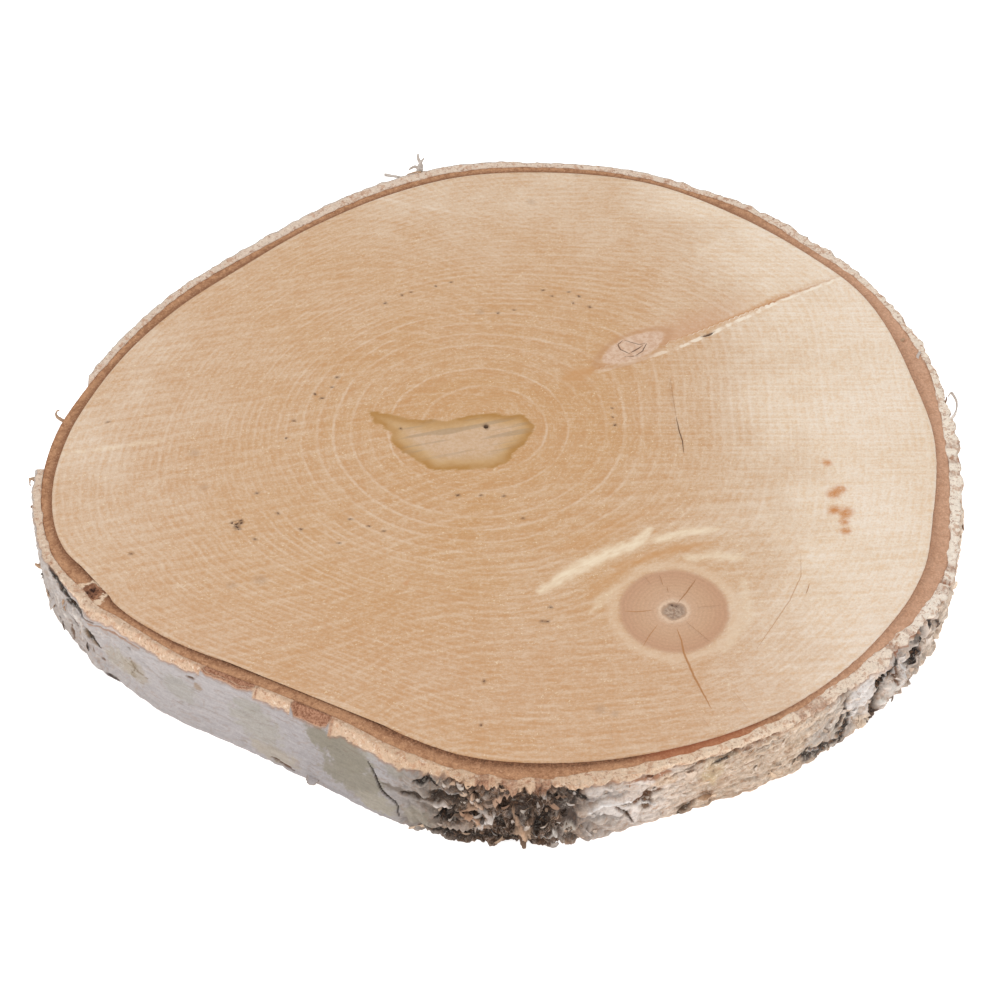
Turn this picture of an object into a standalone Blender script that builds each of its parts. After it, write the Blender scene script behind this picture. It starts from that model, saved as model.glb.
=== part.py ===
"""A sawn slice of birch trunk, lying flat on its lower cut.

Three layers that grew on each other: the pale wood with its drying cracks, the thin brown inner bark
round it, and the white outer bark with its fissures, its scar, its torn stretches and its curls.
Metres, +Z up. The origin is under the middle of the slice, on the surface that it lies on.
Angles are in degrees, anticlockwise from +X as seen from above.
"""

import math
import random

import bmesh
import bpy
from mathutils import Vector, noise

MM = 0.001

# Driving sizes, in millimetres
THICKNESS = 30.0
LAYER_GAP = 0.3
INNER_BARK_DROP = 0.4
OUTER_BARK_LIFT = 0.4

# The edge of the pale wood on the upper cut: angle, distance from the middle
WOOD_EDGE = [
    (0, 158), (12, 156.5), (30, 160), (41, 158.5), (54, 158.5), (68, 160), (84, 156.5), (96, 153.5),
    (108, 147.5), (120, 142), (136, 138.5), (150, 142), (162, 147), (172, 152), (180, 157),
    (192, 163), (201, 163.5), (209, 157), (213, 157.5), (222, 152), (234, 143.5), (242, 141),
    (250, 142.5), (258, 149), (266, 155), (276, 158.5), (290, 161.5), (304, 164), (320, 164),
    (334, 163), (345, 159),
]

# How wide the inner bark's cut edge is
INNER_BARK_WIDTH = [
    (0, 3.8), (13, 7.2), (24, 4.8), (42, 3.5), (54, 5.2), (63, 2.6), (84, 3.6), (108, 3.7), (126, 3.0),
    (144, 4.8), (162, 3.4), (180, 4.6), (198, 3.8), (209, 7.2), (216, 3.0), (228, 4.8), (244, 6.2),
    (264, 6.6), (272, 7.6), (284, 4.6), (300, 2.9), (318, 3.0), (328, 6.2), (338, 7.0), (350, 4.8),
]

# How wide the outer bark's cut edge is
OUTER_BARK_WIDTH = [
    (0, 4.6), (14, 3.0), (30, 3.2), (45, 4.8), (54, 3.0), (66, 3.6), (84, 3.0), (102, 4.6), (126, 4.4),
    (150, 3.0), (166, 3.2), (180, 3.0), (198, 3.6), (212, 3.6), (228, 2.6), (246, 3.0), (262, 4.4),
    (278, 5.0), (294, 3.4), (312, 4.8), (324, 5.0), (336, 3.8), (346, 4.8),
]

# How far the trunk widens from the upper cut down to the lower one
FLARE = [
    (0, -0.5), (30, 0.0), (90, 0.0), (150, 0.0), (186, 0.3), (198, -0.8), (208, -0.8), (221, 1.8),
    (234, 2.4), (246, 4.2), (256, 3.8), (268, -0.8), (278, -1.8), (294, -3.0), (306, -2.2),
    (322, -2.4), (334, -2.8), (346, -0.6),
]

# How deep the outer bark's relief is: under 0.5 on the smooth white stretch, most on the scar
RELIEF_DEPTH = [
    (0, 1.3), (25, 1.1), (45, 1.4), (65, 0.7), (110, 0.7), (160, 0.6), (182, 0.9), (198, 0.6),
    (212, 0.9), (222, 0.35), (244, 0.4), (256, 0.8), (264, 3.2), (276, 3.4), (284, 1.2), (300, 1.1),
    (314, 1.5), (322, 3.0), (332, 2.9), (341, 1.5),
]

# Degrees from one column of a ring to the next, closer together where the bark is coarse
SMOOTH_COLUMN_STEP = 2.0
BARK_COLUMN_STEP = 1.5
FINE_COLUMN_STEP = 0.8
FINE_ABOVE_DEPTH = 1.9

# Heights of the rows on the outer bark's outer side
BARK_ROWS = [0.3, 2.5, 7.0, 11.5, 16.0, 20.5, 25.0, 28.5]

# A small branch's stub in the bark at the front left
STUB_ANGLE = 212.0
STUB_HEIGHT = 23.0
STUB_RADIUS = 5.0
STUB_BULGE = 2.2

# Stretches where the outer bark has come off from the upper cut down: start, end, height it is gone above
TEARS = [
    (168.5, 186.5, 12.0),
    (226.5, 233.5, 28.0),
    (240.5, 247.5, 24.5),
]

# Drying cracks in the upper cut: points along each one, widest opening and depth
CRACKS = [
    ([(60.3, -98.0), (61.9, -109.2), (64.8, -119.7), (69.7, -134.0)], 1.3, 4.0),
    ([(61.3, -85.4), (64.0, -80.0), (67.7, -74.4)], 0.9, 2.5),
    ([(42.4, -89.6), (52.3, -89.2)], 0.8, 2.0),
    ([(48.3, -106.0), (53.7, -95.8)], 0.8, 2.0),
    ([(63.3, 30.8), (64.2, 16.0), (65.0, 4.4), (66.5, -10.6)], 0.8, 2.5),
    ([(80.6, 55.9), (77.1, 54.2), (74.8, 52.5)], 1.6, 3.0),
    ([(52.4, 48.9), (49.0, 47.0), (46.0, 44.6)], 1.0, 2.0),
]
PITH_PLACE = (-5.1, 3.8)
PITH_RADIUS = 1.2
PITH_DEPTH = 3.0

# Flakes, curls and spikes of outer bark. The thinnest a flake gets is 0.7.
FLAKE_THICKNESS = 0.8
FLAKE_ROOT = 1.4
LOOSE_FLAKES = 46
FLAKE_SEED = 14


def along(points, angle):
    """Reads a smooth closed curve through (angle, value) points at one angle."""
    angle %= 360.0
    count = len(points)
    later = next((i for i in range(count) if points[i][0] > angle), count)

    def knot(index):
        turn, place = divmod(index, count)
        return points[place][0] + 360.0 * turn, points[place][1]

    (a0, v0), (a1, v1), (a2, v2), (a3, v3) = (knot(later + step) for step in (-2, -1, 0, 1))
    span = a2 - a1
    t = (angle - a1) / span
    slope1 = (v2 - v0) / (a2 - a0) * span
    slope2 = (v3 - v1) / (a3 - a1) * span
    blend1 = (1 + 2 * t) * (1 - t) ** 2 * v1 + t * (1 - t) ** 2 * slope1
    blend2 = t * t * (3 - 2 * t) * v2 + t * t * (t - 1) * slope2
    return blend1 + blend2


def flare(angle, height):
    return along(FLARE, angle) * (1.0 - height / THICKNESS)


def wood_radius(angle, height):
    return along(WOOD_EDGE, angle) + flare(angle, height)


def inner_bark_radius(angle, height):
    return wood_radius(angle, height) + along(INNER_BARK_WIDTH, angle)


def angle_between(first, second):
    return (first - second + 180.0) % 360.0 - 180.0


def bark_relief(angle, height):
    """Height of the outer bark's surface over its mean surface: plates parted by fissures."""
    depth = along(RELIEF_DEPTH, angle)
    turn = math.radians(angle)
    place = Vector((math.cos(turn) * 160.0, math.sin(turn) * 160.0, height))
    plates = noise.voronoi(Vector((place.x / 8.0, place.y / 8.0, place.z / 7.0)))[0]
    fissure = min(1.0, (plates[1] - plates[0]) * 3.0) - 0.7
    swell = noise.noise(place / 14.0)
    rough = noise.noise(place / 4.0)
    relief = depth * (0.8 * fissure + 0.6 * swell + 0.4 * rough)
    across = angle_between(angle, STUB_ANGLE) * math.pi / 180.0 * 160.0
    from_stub = math.hypot(across, height - STUB_HEIGHT) / STUB_RADIUS
    relief += STUB_BULGE * (math.exp(-from_stub**2) - 0.9 * math.exp(-((3.0 * from_stub) ** 2)))
    return relief


def outer_bark_radius(angle, height):
    width = along(OUTER_BARK_WIDTH, angle)
    relief = max(bark_relief(angle, height), 1.2 - width)
    return inner_bark_radius(angle, height) + width + relief


def rim_height(angle):
    """Height of the outer bark's upper edge, ragged where the saw tore it."""
    turn = math.radians(angle)
    ragged = noise.noise(Vector((math.cos(turn) * 22.0, math.sin(turn) * 22.0, 7.0)))
    return THICKNESS + OUTER_BARK_LIFT - 0.9 * along(RELIEF_DEPTH, angle) * abs(ragged)


def place_at(angle, radius, height):
    turn = math.radians(angle)
    return Vector((math.cos(turn) * radius, math.sin(turn) * radius, height)) * MM


def smooth_columns():
    count = round(360.0 / SMOOTH_COLUMN_STEP)
    return [i * SMOOTH_COLUMN_STEP for i in range(count)]


def bark_columns():
    """Angles round the ring, closer together where the bark is coarse."""
    angles = []
    angle = 0.0
    while angle < 359.5:
        angles.append(angle)
        coarse = along(RELIEF_DEPTH, angle) > FINE_ABOVE_DEPTH
        angle += FINE_COLUMN_STEP if coarse else BARK_COLUMN_STEP
    return angles


def material(name, color, roughness):
    made = bpy.data.materials.new(name)
    made.use_nodes = True
    shader = made.node_tree.nodes["Principled BSDF"]
    shader.inputs["Base Color"].default_value = (*color, 1.0)
    shader.inputs["Roughness"].default_value = roughness
    shader.inputs["Metallic"].default_value = 0.0
    return made


def new_object(name, bm):
    mesh = bpy.data.meshes.new(name)
    bm.normal_update()
    bm.to_mesh(mesh)
    bm.free()
    made = bpy.data.objects.new(name, mesh)
    bpy.context.scene.collection.objects.link(made)
    return made


def ring_between(bm, lower, upper):
    """Joins two closed loops of vertices with quads that face away from the axis."""
    count = len(lower)
    for i in range(count):
        j = (i + 1) % count
        bm.faces.new((lower[i], lower[j], upper[j], upper[i]))


def ring_inside(bm, lower, upper):
    """Joins two closed loops with quads that face the axis, split the same way as those of ring_between."""
    count = len(lower)
    for i in range(count):
        j = (i + 1) % count
        bm.faces.new((lower[i], upper[i], upper[j], lower[j]))


def loop_of(bm, places):
    return [bm.verts.new(place) for place in places]


def make_wood():
    """The sawn disc of pale wood."""
    bm = bmesh.new()
    angles = smooth_columns()
    lower = loop_of(bm, [place_at(a, wood_radius(a, 0.0), 0.0) for a in angles])
    upper = loop_of(bm, [place_at(a, wood_radius(a, THICKNESS), THICKNESS) for a in angles])
    ring_between(bm, lower, upper)
    bm.faces.new(upper)
    bm.faces.new(lower[::-1])
    wood = new_object("wood", bm)
    wood.data.materials.append(material("birch_wood", (0.71, 0.50, 0.29), 0.62))
    return wood


def make_crack(name, points, opening, depth):
    """A wedge that cuts one drying crack, widest at its middle and pointed at its ends."""
    bm = bmesh.new()
    sections = []
    last = len(points) - 1
    for i, (x, y) in enumerate(points):
        before = Vector(points[max(i - 1, 0)])
        after = Vector(points[min(i + 1, last)])
        across = (after - before).orthogonal().normalized()
        middle = Vector((x, y))
        end = i in (0, last)
        half = opening * (0.18 if end else 0.5)
        deep = depth * (0.35 if end else 1.0)
        left = middle - across * half
        right = middle + across * half
        corners = [(*left, THICKNESS + 0.5), (*right, THICKNESS + 0.5), (*middle, THICKNESS - deep)]
        sections.append([bm.verts.new(Vector(corner) * MM) for corner in corners])
    for first, second in zip(sections, sections[1:]):
        ring_between(bm, first, second)
    bm.faces.new(sections[0][::-1])
    bm.faces.new(sections[-1])
    bmesh.ops.recalc_face_normals(bm, faces=bm.faces)
    return new_object(name, bm)


def make_pith():
    """A small tapered pit at the pith."""
    bm = bmesh.new()
    bmesh.ops.create_cone(
        bm, cap_ends=True, segments=8, radius1=0.4 * PITH_RADIUS * MM, radius2=PITH_RADIUS * MM,
        depth=(PITH_DEPTH + 0.5) * MM,
    )
    pit = new_object("pith_pit", bm)
    pit.location = (PITH_PLACE[0] * MM, PITH_PLACE[1] * MM, (THICKNESS + 0.25 - PITH_DEPTH / 2) * MM)
    return pit


def cut_with(target, cutters):
    """Cuts the cutters out of the target. They stay as hidden guides."""
    group = bpy.data.collections.new(target.name + "_cutters")
    bpy.context.scene.collection.children.link(group)
    for cutter in cutters:
        bpy.context.scene.collection.objects.unlink(cutter)
        group.objects.link(cutter)
        cutter.hide_render = True
        cutter.display_type = "WIRE"
    cut = target.modifiers.new("cuts", "BOOLEAN")
    cut.operation = "DIFFERENCE"
    cut.solver = "EXACT"
    cut.operand_type = "COLLECTION"
    cut.collection = group


def make_inner_bark():
    """The brown ring between the wood and the outer bark."""
    bm = bmesh.new()
    angles = smooth_columns()
    heights = (BARK_ROWS[0], THICKNESS - INNER_BARK_DROP)
    inside = [loop_of(bm, [place_at(a, wood_radius(a, h) + LAYER_GAP, h) for a in angles]) for h in heights]
    outside = [loop_of(bm, [place_at(a, inner_bark_radius(a, h), h) for a in angles]) for h in heights]
    ring_between(bm, outside[0], outside[1])
    ring_between(bm, outside[1], inside[1])
    ring_inside(bm, inside[0], inside[1])
    ring_between(bm, inside[0], outside[0])
    ring = new_object("inner_bark", bm)
    ring.data.materials.append(material("inner_bark", (0.33, 0.15, 0.075), 0.85))
    return ring


def make_outer_bark_ring():
    """The white ring, its outer side raised into plates and fissures."""
    bm = bmesh.new()
    angles = bark_columns()
    bottom = BARK_ROWS[0]
    inside = [
        loop_of(bm, [place_at(a, inner_bark_radius(a, h) + LAYER_GAP, h) for a in angles])
        for h in (bottom, THICKNESS)
    ]
    outside = [loop_of(bm, [place_at(a, outer_bark_radius(a, h), h) for a in angles]) for h in BARK_ROWS]
    rim = loop_of(bm, [place_at(a, outer_bark_radius(a, rim_height(a)) - 0.3, rim_height(a)) for a in angles])
    outside.append(rim)
    for lower, upper in zip(outside, outside[1:]):
        ring_between(bm, lower, upper)
    ring_between(bm, rim, inside[-1])
    ring_inside(bm, inside[0], inside[-1])
    ring_between(bm, inside[0], outside[0])
    ring = new_object("outer_bark", bm)
    ring.data.materials.append(material("outer_bark", (0.52, 0.47, 0.42), 0.8))
    return ring


def make_tear(name, start, end, gone_above):
    """A block with a ragged lower edge that takes the outer bark away from the upper cut down."""
    bm = bmesh.new()
    steps = round((end - start) / 0.8)
    near = []
    far = []
    for i in range(steps + 1):
        share = i / steps
        angle = start + (end - start) * share
        depth = min(1.0, 2.4 * math.sin(math.pi * share) ** 0.7)
        ragged = noise.noise(Vector((angle * 0.45, 2.0, 5.0)))
        height = THICKNESS + 1.0 - (THICKNESS + 1.0 - gone_above) * depth * (1.0 + 0.4 * ragged)
        near.append(place_at(angle, inner_bark_radius(angle, THICKNESS) - 1.0, height))
        far.append(place_at(angle, inner_bark_radius(angle, THICKNESS) + 14.0, height))
    above = [Vector((place.x, place.y, (THICKNESS + 9.0) * MM)) for place in near + far[::-1]]
    lower = loop_of(bm, near + far[::-1])
    upper = loop_of(bm, above)
    ring_between(bm, lower, upper)
    count = len(lower)
    for i in range(steps):
        bm.faces.new((lower[i], lower[i + 1], lower[count - 2 - i], lower[count - 1 - i]))
        bm.faces.new((upper[i], upper[i + 1], upper[count - 2 - i], upper[count - 1 - i]))
    bmesh.ops.recalc_face_normals(bm, faces=bm.faces)
    return new_object(name, bm)


def make_strip(name, places, side, widths):
    """A thin strip of bark swept along places, in millimetres. side points across the strip."""
    bm = bmesh.new()
    sections = []
    last = len(places) - 1
    for i, place in enumerate(places):
        tangent = (places[min(i + 1, last)] - places[max(i - 1, 0)]).normalized()
        across = (side - tangent * side.dot(tangent)).normalized() * widths[i] / 2
        normal = across.cross(tangent).normalized() * FLAKE_THICKNESS / 2
        corners = (place - across - normal, place + across - normal, place + across + normal, place - across + normal)
        sections.append([bm.verts.new(corner * MM) for corner in corners])
    for first, second in zip(sections, sections[1:]):
        ring_between(bm, first, second)
    bm.faces.new(sections[0][::-1])
    bm.faces.new(sections[-1])
    bmesh.ops.recalc_face_normals(bm, faces=bm.faces)
    return new_object(name, bm)


def directions(angle):
    """Outward, sideways (anticlockwise) and up at an angle round the slice."""
    turn = math.radians(angle)
    outward = Vector((math.cos(turn), math.sin(turn), 0.0))
    sideways = Vector((-math.sin(turn), math.cos(turn), 0.0))
    return outward, sideways, Vector((0.0, 0.0, 1.0))


def make_flake(name, angle, height, reach, rise, drift, width, bend=0.0):
    """A flake that leaves the bark's surface at one place.

    reach, rise and drift are how far its tip goes outward, up and anticlockwise. bend curls the tip back.
    """
    outward, sideways, up = directions(angle)
    height = min(height, THICKNESS - 1.0)
    surface = outer_bark_radius(angle, height)
    root = outward * (surface - FLAKE_ROOT) + up * height
    places = []
    widths = []
    steps = 4 if bend else 2
    for i in range(steps + 1):
        t = i / steps
        out = FLAKE_ROOT * min(1.0, 2.0 * t) + reach * (t - bend * t * t)
        places.append(root + outward * out + up * rise * t * (1.0 + bend * t) + sideways * drift * t)
        widths.append(width * (1.0 - 0.65 * t * t))
    lean = sideways if abs(rise) >= abs(drift) else up
    return make_strip(name, places, lean, widths)


# The flakes that show one by one: angle, height, reach, rise, drift, width, bend
KNOWN_FLAKES = [
    (107.6, 28.5, 2.0, 1.0, 5.5, 2.0, 0.0),
    (104.6, 28.5, 3.6, 2.0, 2.6, 3.0, 0.5),
    (102.4, 28.5, 8.8, 5.8, 0.6, 2.0, 0.2),
    (101.4, 28.5, 6.4, 4.8, -3.4, 1.8, 0.3),
    (167.5, 28.0, 3.0, 2.5, 1.0, 3.5, 0.0),
    (189.0, 24.0, 4.0, 2.5, 1.0, 2.8, 0.0),
    (193.0, 20.0, 4.2, -1.5, 0.0, 2.8, 0.0),
    (198.0, 14.0, 3.6, 1.5, -1.0, 2.8, 0.0),
    (203.0, 12.0, 3.0, -3.0, 1.0, 5.0, 0.0),
    (240.0, 2.6, 3.4, -0.8, 0.5, 7.0, 0.0),
    (258.0, 2.6, 3.6, -0.8, 0.5, 8.0, 0.0),
    (272.5, 4.0, 4.0, -1.6, 0.5, 2.6, 0.0),
    (291.0, 22.0, 3.2, 3.0, 3.5, 6.0, 0.5),
    (295.0, 11.0, 5.5, 3.5, 3.5, 4.2, 0.4),
    (302.0, 8.0, 3.0, -2.0, 2.5, 4.0, 0.0),
    (322.0, 12.0, 4.0, -1.5, 3.0, 4.5, 0.6),
    (327.0, 19.0, 4.4, 1.5, 3.0, 4.0, 0.6),
    (331.0, 8.0, 4.0, -1.5, 2.0, 4.0, 0.5),
    (354.5, 26.0, 3.6, -0.5, 1.0, 3.4, 0.0),
    (349.0, 26.0, 3.8, -1.0, -1.0, 3.4, 0.0),
    (4.0, 27.5, 4.0, 3.0, 4.0, 2.2, 0.3),
    (8.0, 28.0, 5.5, 4.0, -3.5, 2.2, 0.5),
    (15.0, 28.5, 2.6, 3.5, 0.5, 2.6, 0.0),
    (19.0, 28.5, 2.4, 3.0, -0.5, 2.6, 0.0),
]


def make_flakes():
    """The known flakes, and smaller ones drawn by seed on the rough stretches."""
    made = [make_flake(f"flake_{i}", *values) for i, values in enumerate(KNOWN_FLAKES)]
    draw = random.Random(FLAKE_SEED)
    while len(made) < len(KNOWN_FLAKES) + LOOSE_FLAKES:
        angle = draw.uniform(0.0, 360.0)
        depth = along(RELIEF_DEPTH, angle)
        too_near = any(abs(angle_between(angle, known[0])) < 2.6 for known in KNOWN_FLAKES)
        torn = any(start - 2.0 < angle < end + 2.0 for start, end, _ in TEARS)
        if depth < draw.uniform(0.5, 1.6) or too_near or torn:
            continue
        height = draw.choice((28.6, draw.uniform(5.0, 26.0)))
        reach = draw.uniform(1.2, 2.6)
        rise = draw.uniform(0.4, 2.0) if height > 28 else draw.uniform(-2.0, 2.0)
        drift = draw.uniform(-2.0, 2.0)
        made.append(make_flake(f"flake_{len(made)}", angle, height, reach, rise, drift, draw.uniform(1.8, 4.0)))
    return made


def fuse(target, pieces):
    """Joins the pieces to the target in one Boolean union, and removes them."""
    group = bpy.data.collections.new("fused")
    bpy.context.scene.collection.children.link(group)
    for piece in pieces:
        bpy.context.scene.collection.objects.unlink(piece)
        group.objects.link(piece)
    join = target.modifiers.new("join", "BOOLEAN")
    join.operation = "UNION"
    join.solver = "EXACT"
    join.operand_type = "COLLECTION"
    join.collection = group
    bpy.context.view_layer.update()
    evaluated = target.evaluated_get(bpy.context.evaluated_depsgraph_get())
    joined = bpy.data.meshes.new_from_object(evaluated)
    target.modifiers.clear()
    target.data = joined
    for piece in pieces:
        bpy.data.objects.remove(piece)
    bpy.data.collections.remove(group)


def centre_on_origin(pieces):
    """Moves the pieces together so that the middle of their common box is over the origin."""
    bpy.context.view_layer.update()
    graph = bpy.context.evaluated_depsgraph_get()
    corners = [Vector(corner) for piece in pieces for corner in piece.evaluated_get(graph).bound_box]
    middle_x = (min(c.x for c in corners) + max(c.x for c in corners)) / 2
    middle_y = (min(c.y for c in corners) + max(c.y for c in corners)) / 2
    for moved in bpy.context.scene.objects:
        moved.location.x -= middle_x
        moved.location.y -= middle_y


def shade(target, sharp_degrees):
    target.data.shade_smooth()
    target.data.set_sharp_from_angle(angle=math.radians(sharp_degrees))


def main():
    for old in list(bpy.data.objects):
        bpy.data.objects.remove(old)

    wood = make_wood()
    cracks = [make_crack(f"crack_{i}", *values) for i, values in enumerate(CRACKS)]
    cut_with(wood, cracks + [make_pith()])

    inner_bark = make_inner_bark()

    outer_bark = make_outer_bark_ring()
    fuse(outer_bark, make_flakes())
    cut_with(outer_bark, [make_tear(f"tear_{i}", *values) for i, values in enumerate(TEARS)])

    shade(wood, 40)
    shade(inner_bark, 40)
    shade(outer_bark, 50)

    centre_on_origin([wood, inner_bark, outer_bark])


main()
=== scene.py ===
"""A birch slice on a pale floor: sawn wood, brown inner bark, and rough white outer bark."""

import bpy
import math
import random
import numpy as np
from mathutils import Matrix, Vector, noise
from mathutils.geometry import delaunay_2d_cdt


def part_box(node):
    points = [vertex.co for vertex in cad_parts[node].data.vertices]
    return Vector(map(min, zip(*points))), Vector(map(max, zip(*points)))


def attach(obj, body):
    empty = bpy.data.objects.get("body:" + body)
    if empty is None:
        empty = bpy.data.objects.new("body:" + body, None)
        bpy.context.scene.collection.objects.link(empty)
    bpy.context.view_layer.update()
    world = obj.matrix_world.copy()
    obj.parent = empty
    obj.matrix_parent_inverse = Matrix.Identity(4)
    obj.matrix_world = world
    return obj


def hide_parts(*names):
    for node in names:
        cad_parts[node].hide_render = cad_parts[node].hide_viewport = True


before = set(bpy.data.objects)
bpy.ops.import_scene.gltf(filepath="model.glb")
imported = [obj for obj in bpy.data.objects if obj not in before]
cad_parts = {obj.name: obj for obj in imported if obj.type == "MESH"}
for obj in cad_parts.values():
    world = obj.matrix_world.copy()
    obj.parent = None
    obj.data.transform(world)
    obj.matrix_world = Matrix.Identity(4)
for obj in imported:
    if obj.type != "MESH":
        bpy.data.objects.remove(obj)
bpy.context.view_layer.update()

# Lengths are millimetres here, and angles are degrees anticlockwise from +X, as in the part.
MM = 0.001
THICKNESS = 30.0

# The part's outline and bark, as (angle, value) points on smooth closed curves.
WOOD_EDGE = [
    (0, 158), (12, 156.5), (30, 160), (41, 158.5), (54, 158.5), (68, 160), (84, 156.5), (96, 153.5),
    (108, 147.5), (120, 142), (136, 138.5), (150, 142), (162, 147), (172, 152), (180, 157), (192, 163),
    (201, 163.5), (209, 157), (213, 157.5), (222, 152), (234, 143.5), (242, 141), (250, 142.5), (258, 149),
    (266, 155), (276, 158.5), (290, 161.5), (304, 164), (320, 164), (334, 163), (345, 159),
]
INNER_BARK_WIDTH = [
    (0, 3.8), (13, 7.2), (24, 4.8), (42, 3.5), (54, 5.2), (63, 2.6), (84, 3.6), (108, 3.7), (126, 3.0),
    (144, 4.8), (162, 3.4), (180, 4.6), (198, 3.8), (209, 7.2), (216, 3.0), (228, 4.8), (244, 6.2),
    (264, 6.6), (272, 7.6), (284, 4.6), (300, 2.9), (318, 3.0), (328, 6.2), (338, 7.0), (350, 4.8),
]
OUTER_BARK_WIDTH = [
    (0, 4.6), (14, 3.0), (30, 3.2), (45, 4.8), (54, 3.0), (66, 3.6), (84, 3.0), (102, 4.6), (126, 4.4),
    (150, 3.0), (166, 3.2), (180, 3.0), (198, 3.6), (212, 3.6), (228, 2.6), (246, 3.0), (262, 4.4),
    (278, 5.0), (294, 3.4), (312, 4.8), (324, 5.0), (336, 3.8), (346, 4.8),
]
FLARE = [
    (0, -0.5), (30, 0), (90, 0), (150, 0), (186, 0.3), (198, -0.8), (208, -0.8), (221, 1.8), (234, 2.4),
    (246, 4.2), (256, 3.8), (268, -0.8), (278, -1.8), (294, -3.0), (306, -2.2), (322, -2.4), (334, -2.8),
    (346, -0.6),
]
RELIEF_DEPTH = [
    (0, 1.3), (25, 1.1), (45, 1.4), (65, 0.7), (110, 0.7), (160, 0.6), (182, 0.9), (198, 0.6), (212, 0.9),
    (222, 0.35), (244, 0.4), (256, 0.8), (264, 3.2), (276, 3.4), (284, 1.2), (300, 1.1), (314, 1.5),
    (322, 3.0), (332, 2.9), (341, 1.5),
]
OUTER_BARK_LIFT = 0.4
STUB_ANGLE = 212.0
STUB_HEIGHT = 23.0
STUB_RADIUS = 5.0
STUB_BULGE = 2.2
# Where the outer bark is torn away: angles from and to, and the height above which it is gone.
TEARS = [(168.5, 186.5, 12.0), (229.2, 236.8, 28.0), (242.4, 248.2, 25.5)]
# A tear before this angle goes right through the bark, and a later one is a bite out of its rim.
LAST_FULL_TEAR = 200.0
# The least height of bark that a full tear and a bite leave standing.
LOWEST_TEAR = 3.0
LOWEST_BITE = 26.6
# Between these angles a bite keeps a pale outer edge.
PALE_EDGED_BITE = (229.0, 237.0)
# The angles between which the shreds are as dark as the scar.
DARK_SHREDS = (264.0, 279.0)
# The bark's relief is read on a circle of about its own radius.
BARK_RADIUS = 160.0
# The edges of the sawn faces are drawn in and rounded by this much.
EDGE_ROUNDING = 0.35
# The rings overlap a little, so that no gap shows between them.
RING_OVERLAP = 0.12
PITH = (-5.1, 3.8)


def srgb(red, green, blue):
    """A colour given as it shows on a screen, 0 to 255, as the linear colour that shaders take."""
    values = []
    for channel in (red, green, blue):
        share = channel / 255.0
        values.append(share / 12.92 if share <= 0.04045 else ((share + 0.055) / 1.055) ** 2.4)
    return tuple(values)


def along(points, angle):
    """Reads a smooth closed curve through (angle, value) points at one angle."""
    angle %= 360.0
    count = len(points)
    later = next((i for i in range(count) if points[i][0] > angle), count)

    def knot(index):
        turn, place = divmod(index, count)
        return points[place][0] + 360.0 * turn, points[place][1]

    (a0, v0), (a1, v1), (a2, v2), (a3, v3) = (knot(later + step) for step in (-2, -1, 0, 1))
    span = a2 - a1
    t = (angle - a1) / span
    slope1 = (v2 - v0) / (a2 - a0) * span
    slope2 = (v3 - v1) / (a3 - a1) * span
    blend1 = (1 + 2 * t) * (1 - t) ** 2 * v1 + t * (1 - t) ** 2 * slope1
    blend2 = t * t * (3 - 2 * t) * v2 + t * t * (t - 1) * slope2
    return blend1 + blend2


CURVE_STEP = 0.25
CURVE_ANGLES = np.arange(0.0, 360.0 + CURVE_STEP / 2, CURVE_STEP)


def sampled(points):
    """The same curve as an array, read quickly at many angles by read_curve."""
    return np.array([along(points, angle) for angle in CURVE_ANGLES])


EDGE = sampled(WOOD_EDGE)
INNER = sampled(INNER_BARK_WIDTH)
OUTER = sampled(OUTER_BARK_WIDTH)
LEAN = sampled(FLARE)
DEPTH = sampled(RELIEF_DEPTH)


def read_curve(curve, angle):
    return np.interp(np.mod(angle, 360.0), CURVE_ANGLES, curve)


def wood_radius(angle, height):
    return read_curve(EDGE, angle) + read_curve(LEAN, angle) * (1.0 - np.asarray(height) / THICKNESS)


def inner_bark_radius(angle, height):
    return wood_radius(angle, height) + read_curve(INNER, angle)


def angle_between(first, second):
    return (first - second + 180.0) % 360.0 - 180.0


def smooth_step(low, high, value):
    t = np.clip((np.asarray(value, dtype=float) - low) / (high - low), 0.0, 1.0)
    return t * t * (3.0 - 2.0 * t)


def eased(low, high, value):
    """The same for one number."""
    return float(smooth_step(low, high, value))


def curve_at(curve, angle):
    return float(read_curve(curve, angle))


def blend(color, other, share):
    return color * (1.0 - share) + np.asarray(other, dtype=float) * share


def round_noise(angle, radius, level, size=1.0):
    """Noise read on a circle, so that it closes on itself round the slice."""
    turn = math.radians(angle)
    return noise.noise(Vector((math.cos(turn) * radius, math.sin(turn) * radius, level)) / size)


def trunk_middle():
    """The trunk's middle in the frame: the part is centred on its box, and these numbers are not."""
    angles = np.arange(0.0, 360.0, 2.0)
    turns = np.radians(angles)
    outline = np.maximum(wood_radius(angles, 0.0), wood_radius(angles, THICKNESS))
    high_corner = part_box("wood")[1]
    return Vector((
        high_corner[0] - float(np.max(outline * np.cos(turns))) * MM,
        high_corner[1] - float(np.max(outline * np.sin(turns))) * MM,
        0.0,
    ))


SHIFT = trunk_middle()


def noise_at(x, y, z, size, octaves=1):
    """Smooth noise of about -1 to 1 whose lumps are size millimetres across, at many places."""
    out = np.empty(len(x))
    for i in range(len(x)):
        place = Vector((x[i] / size, y[i] / size, z[i] / size))
        total = noise.noise(place)
        for octave in range(1, octaves):
            total += noise.noise(place * 2.03**octave) * 0.5**octave
        out[i] = total
    return out


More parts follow.
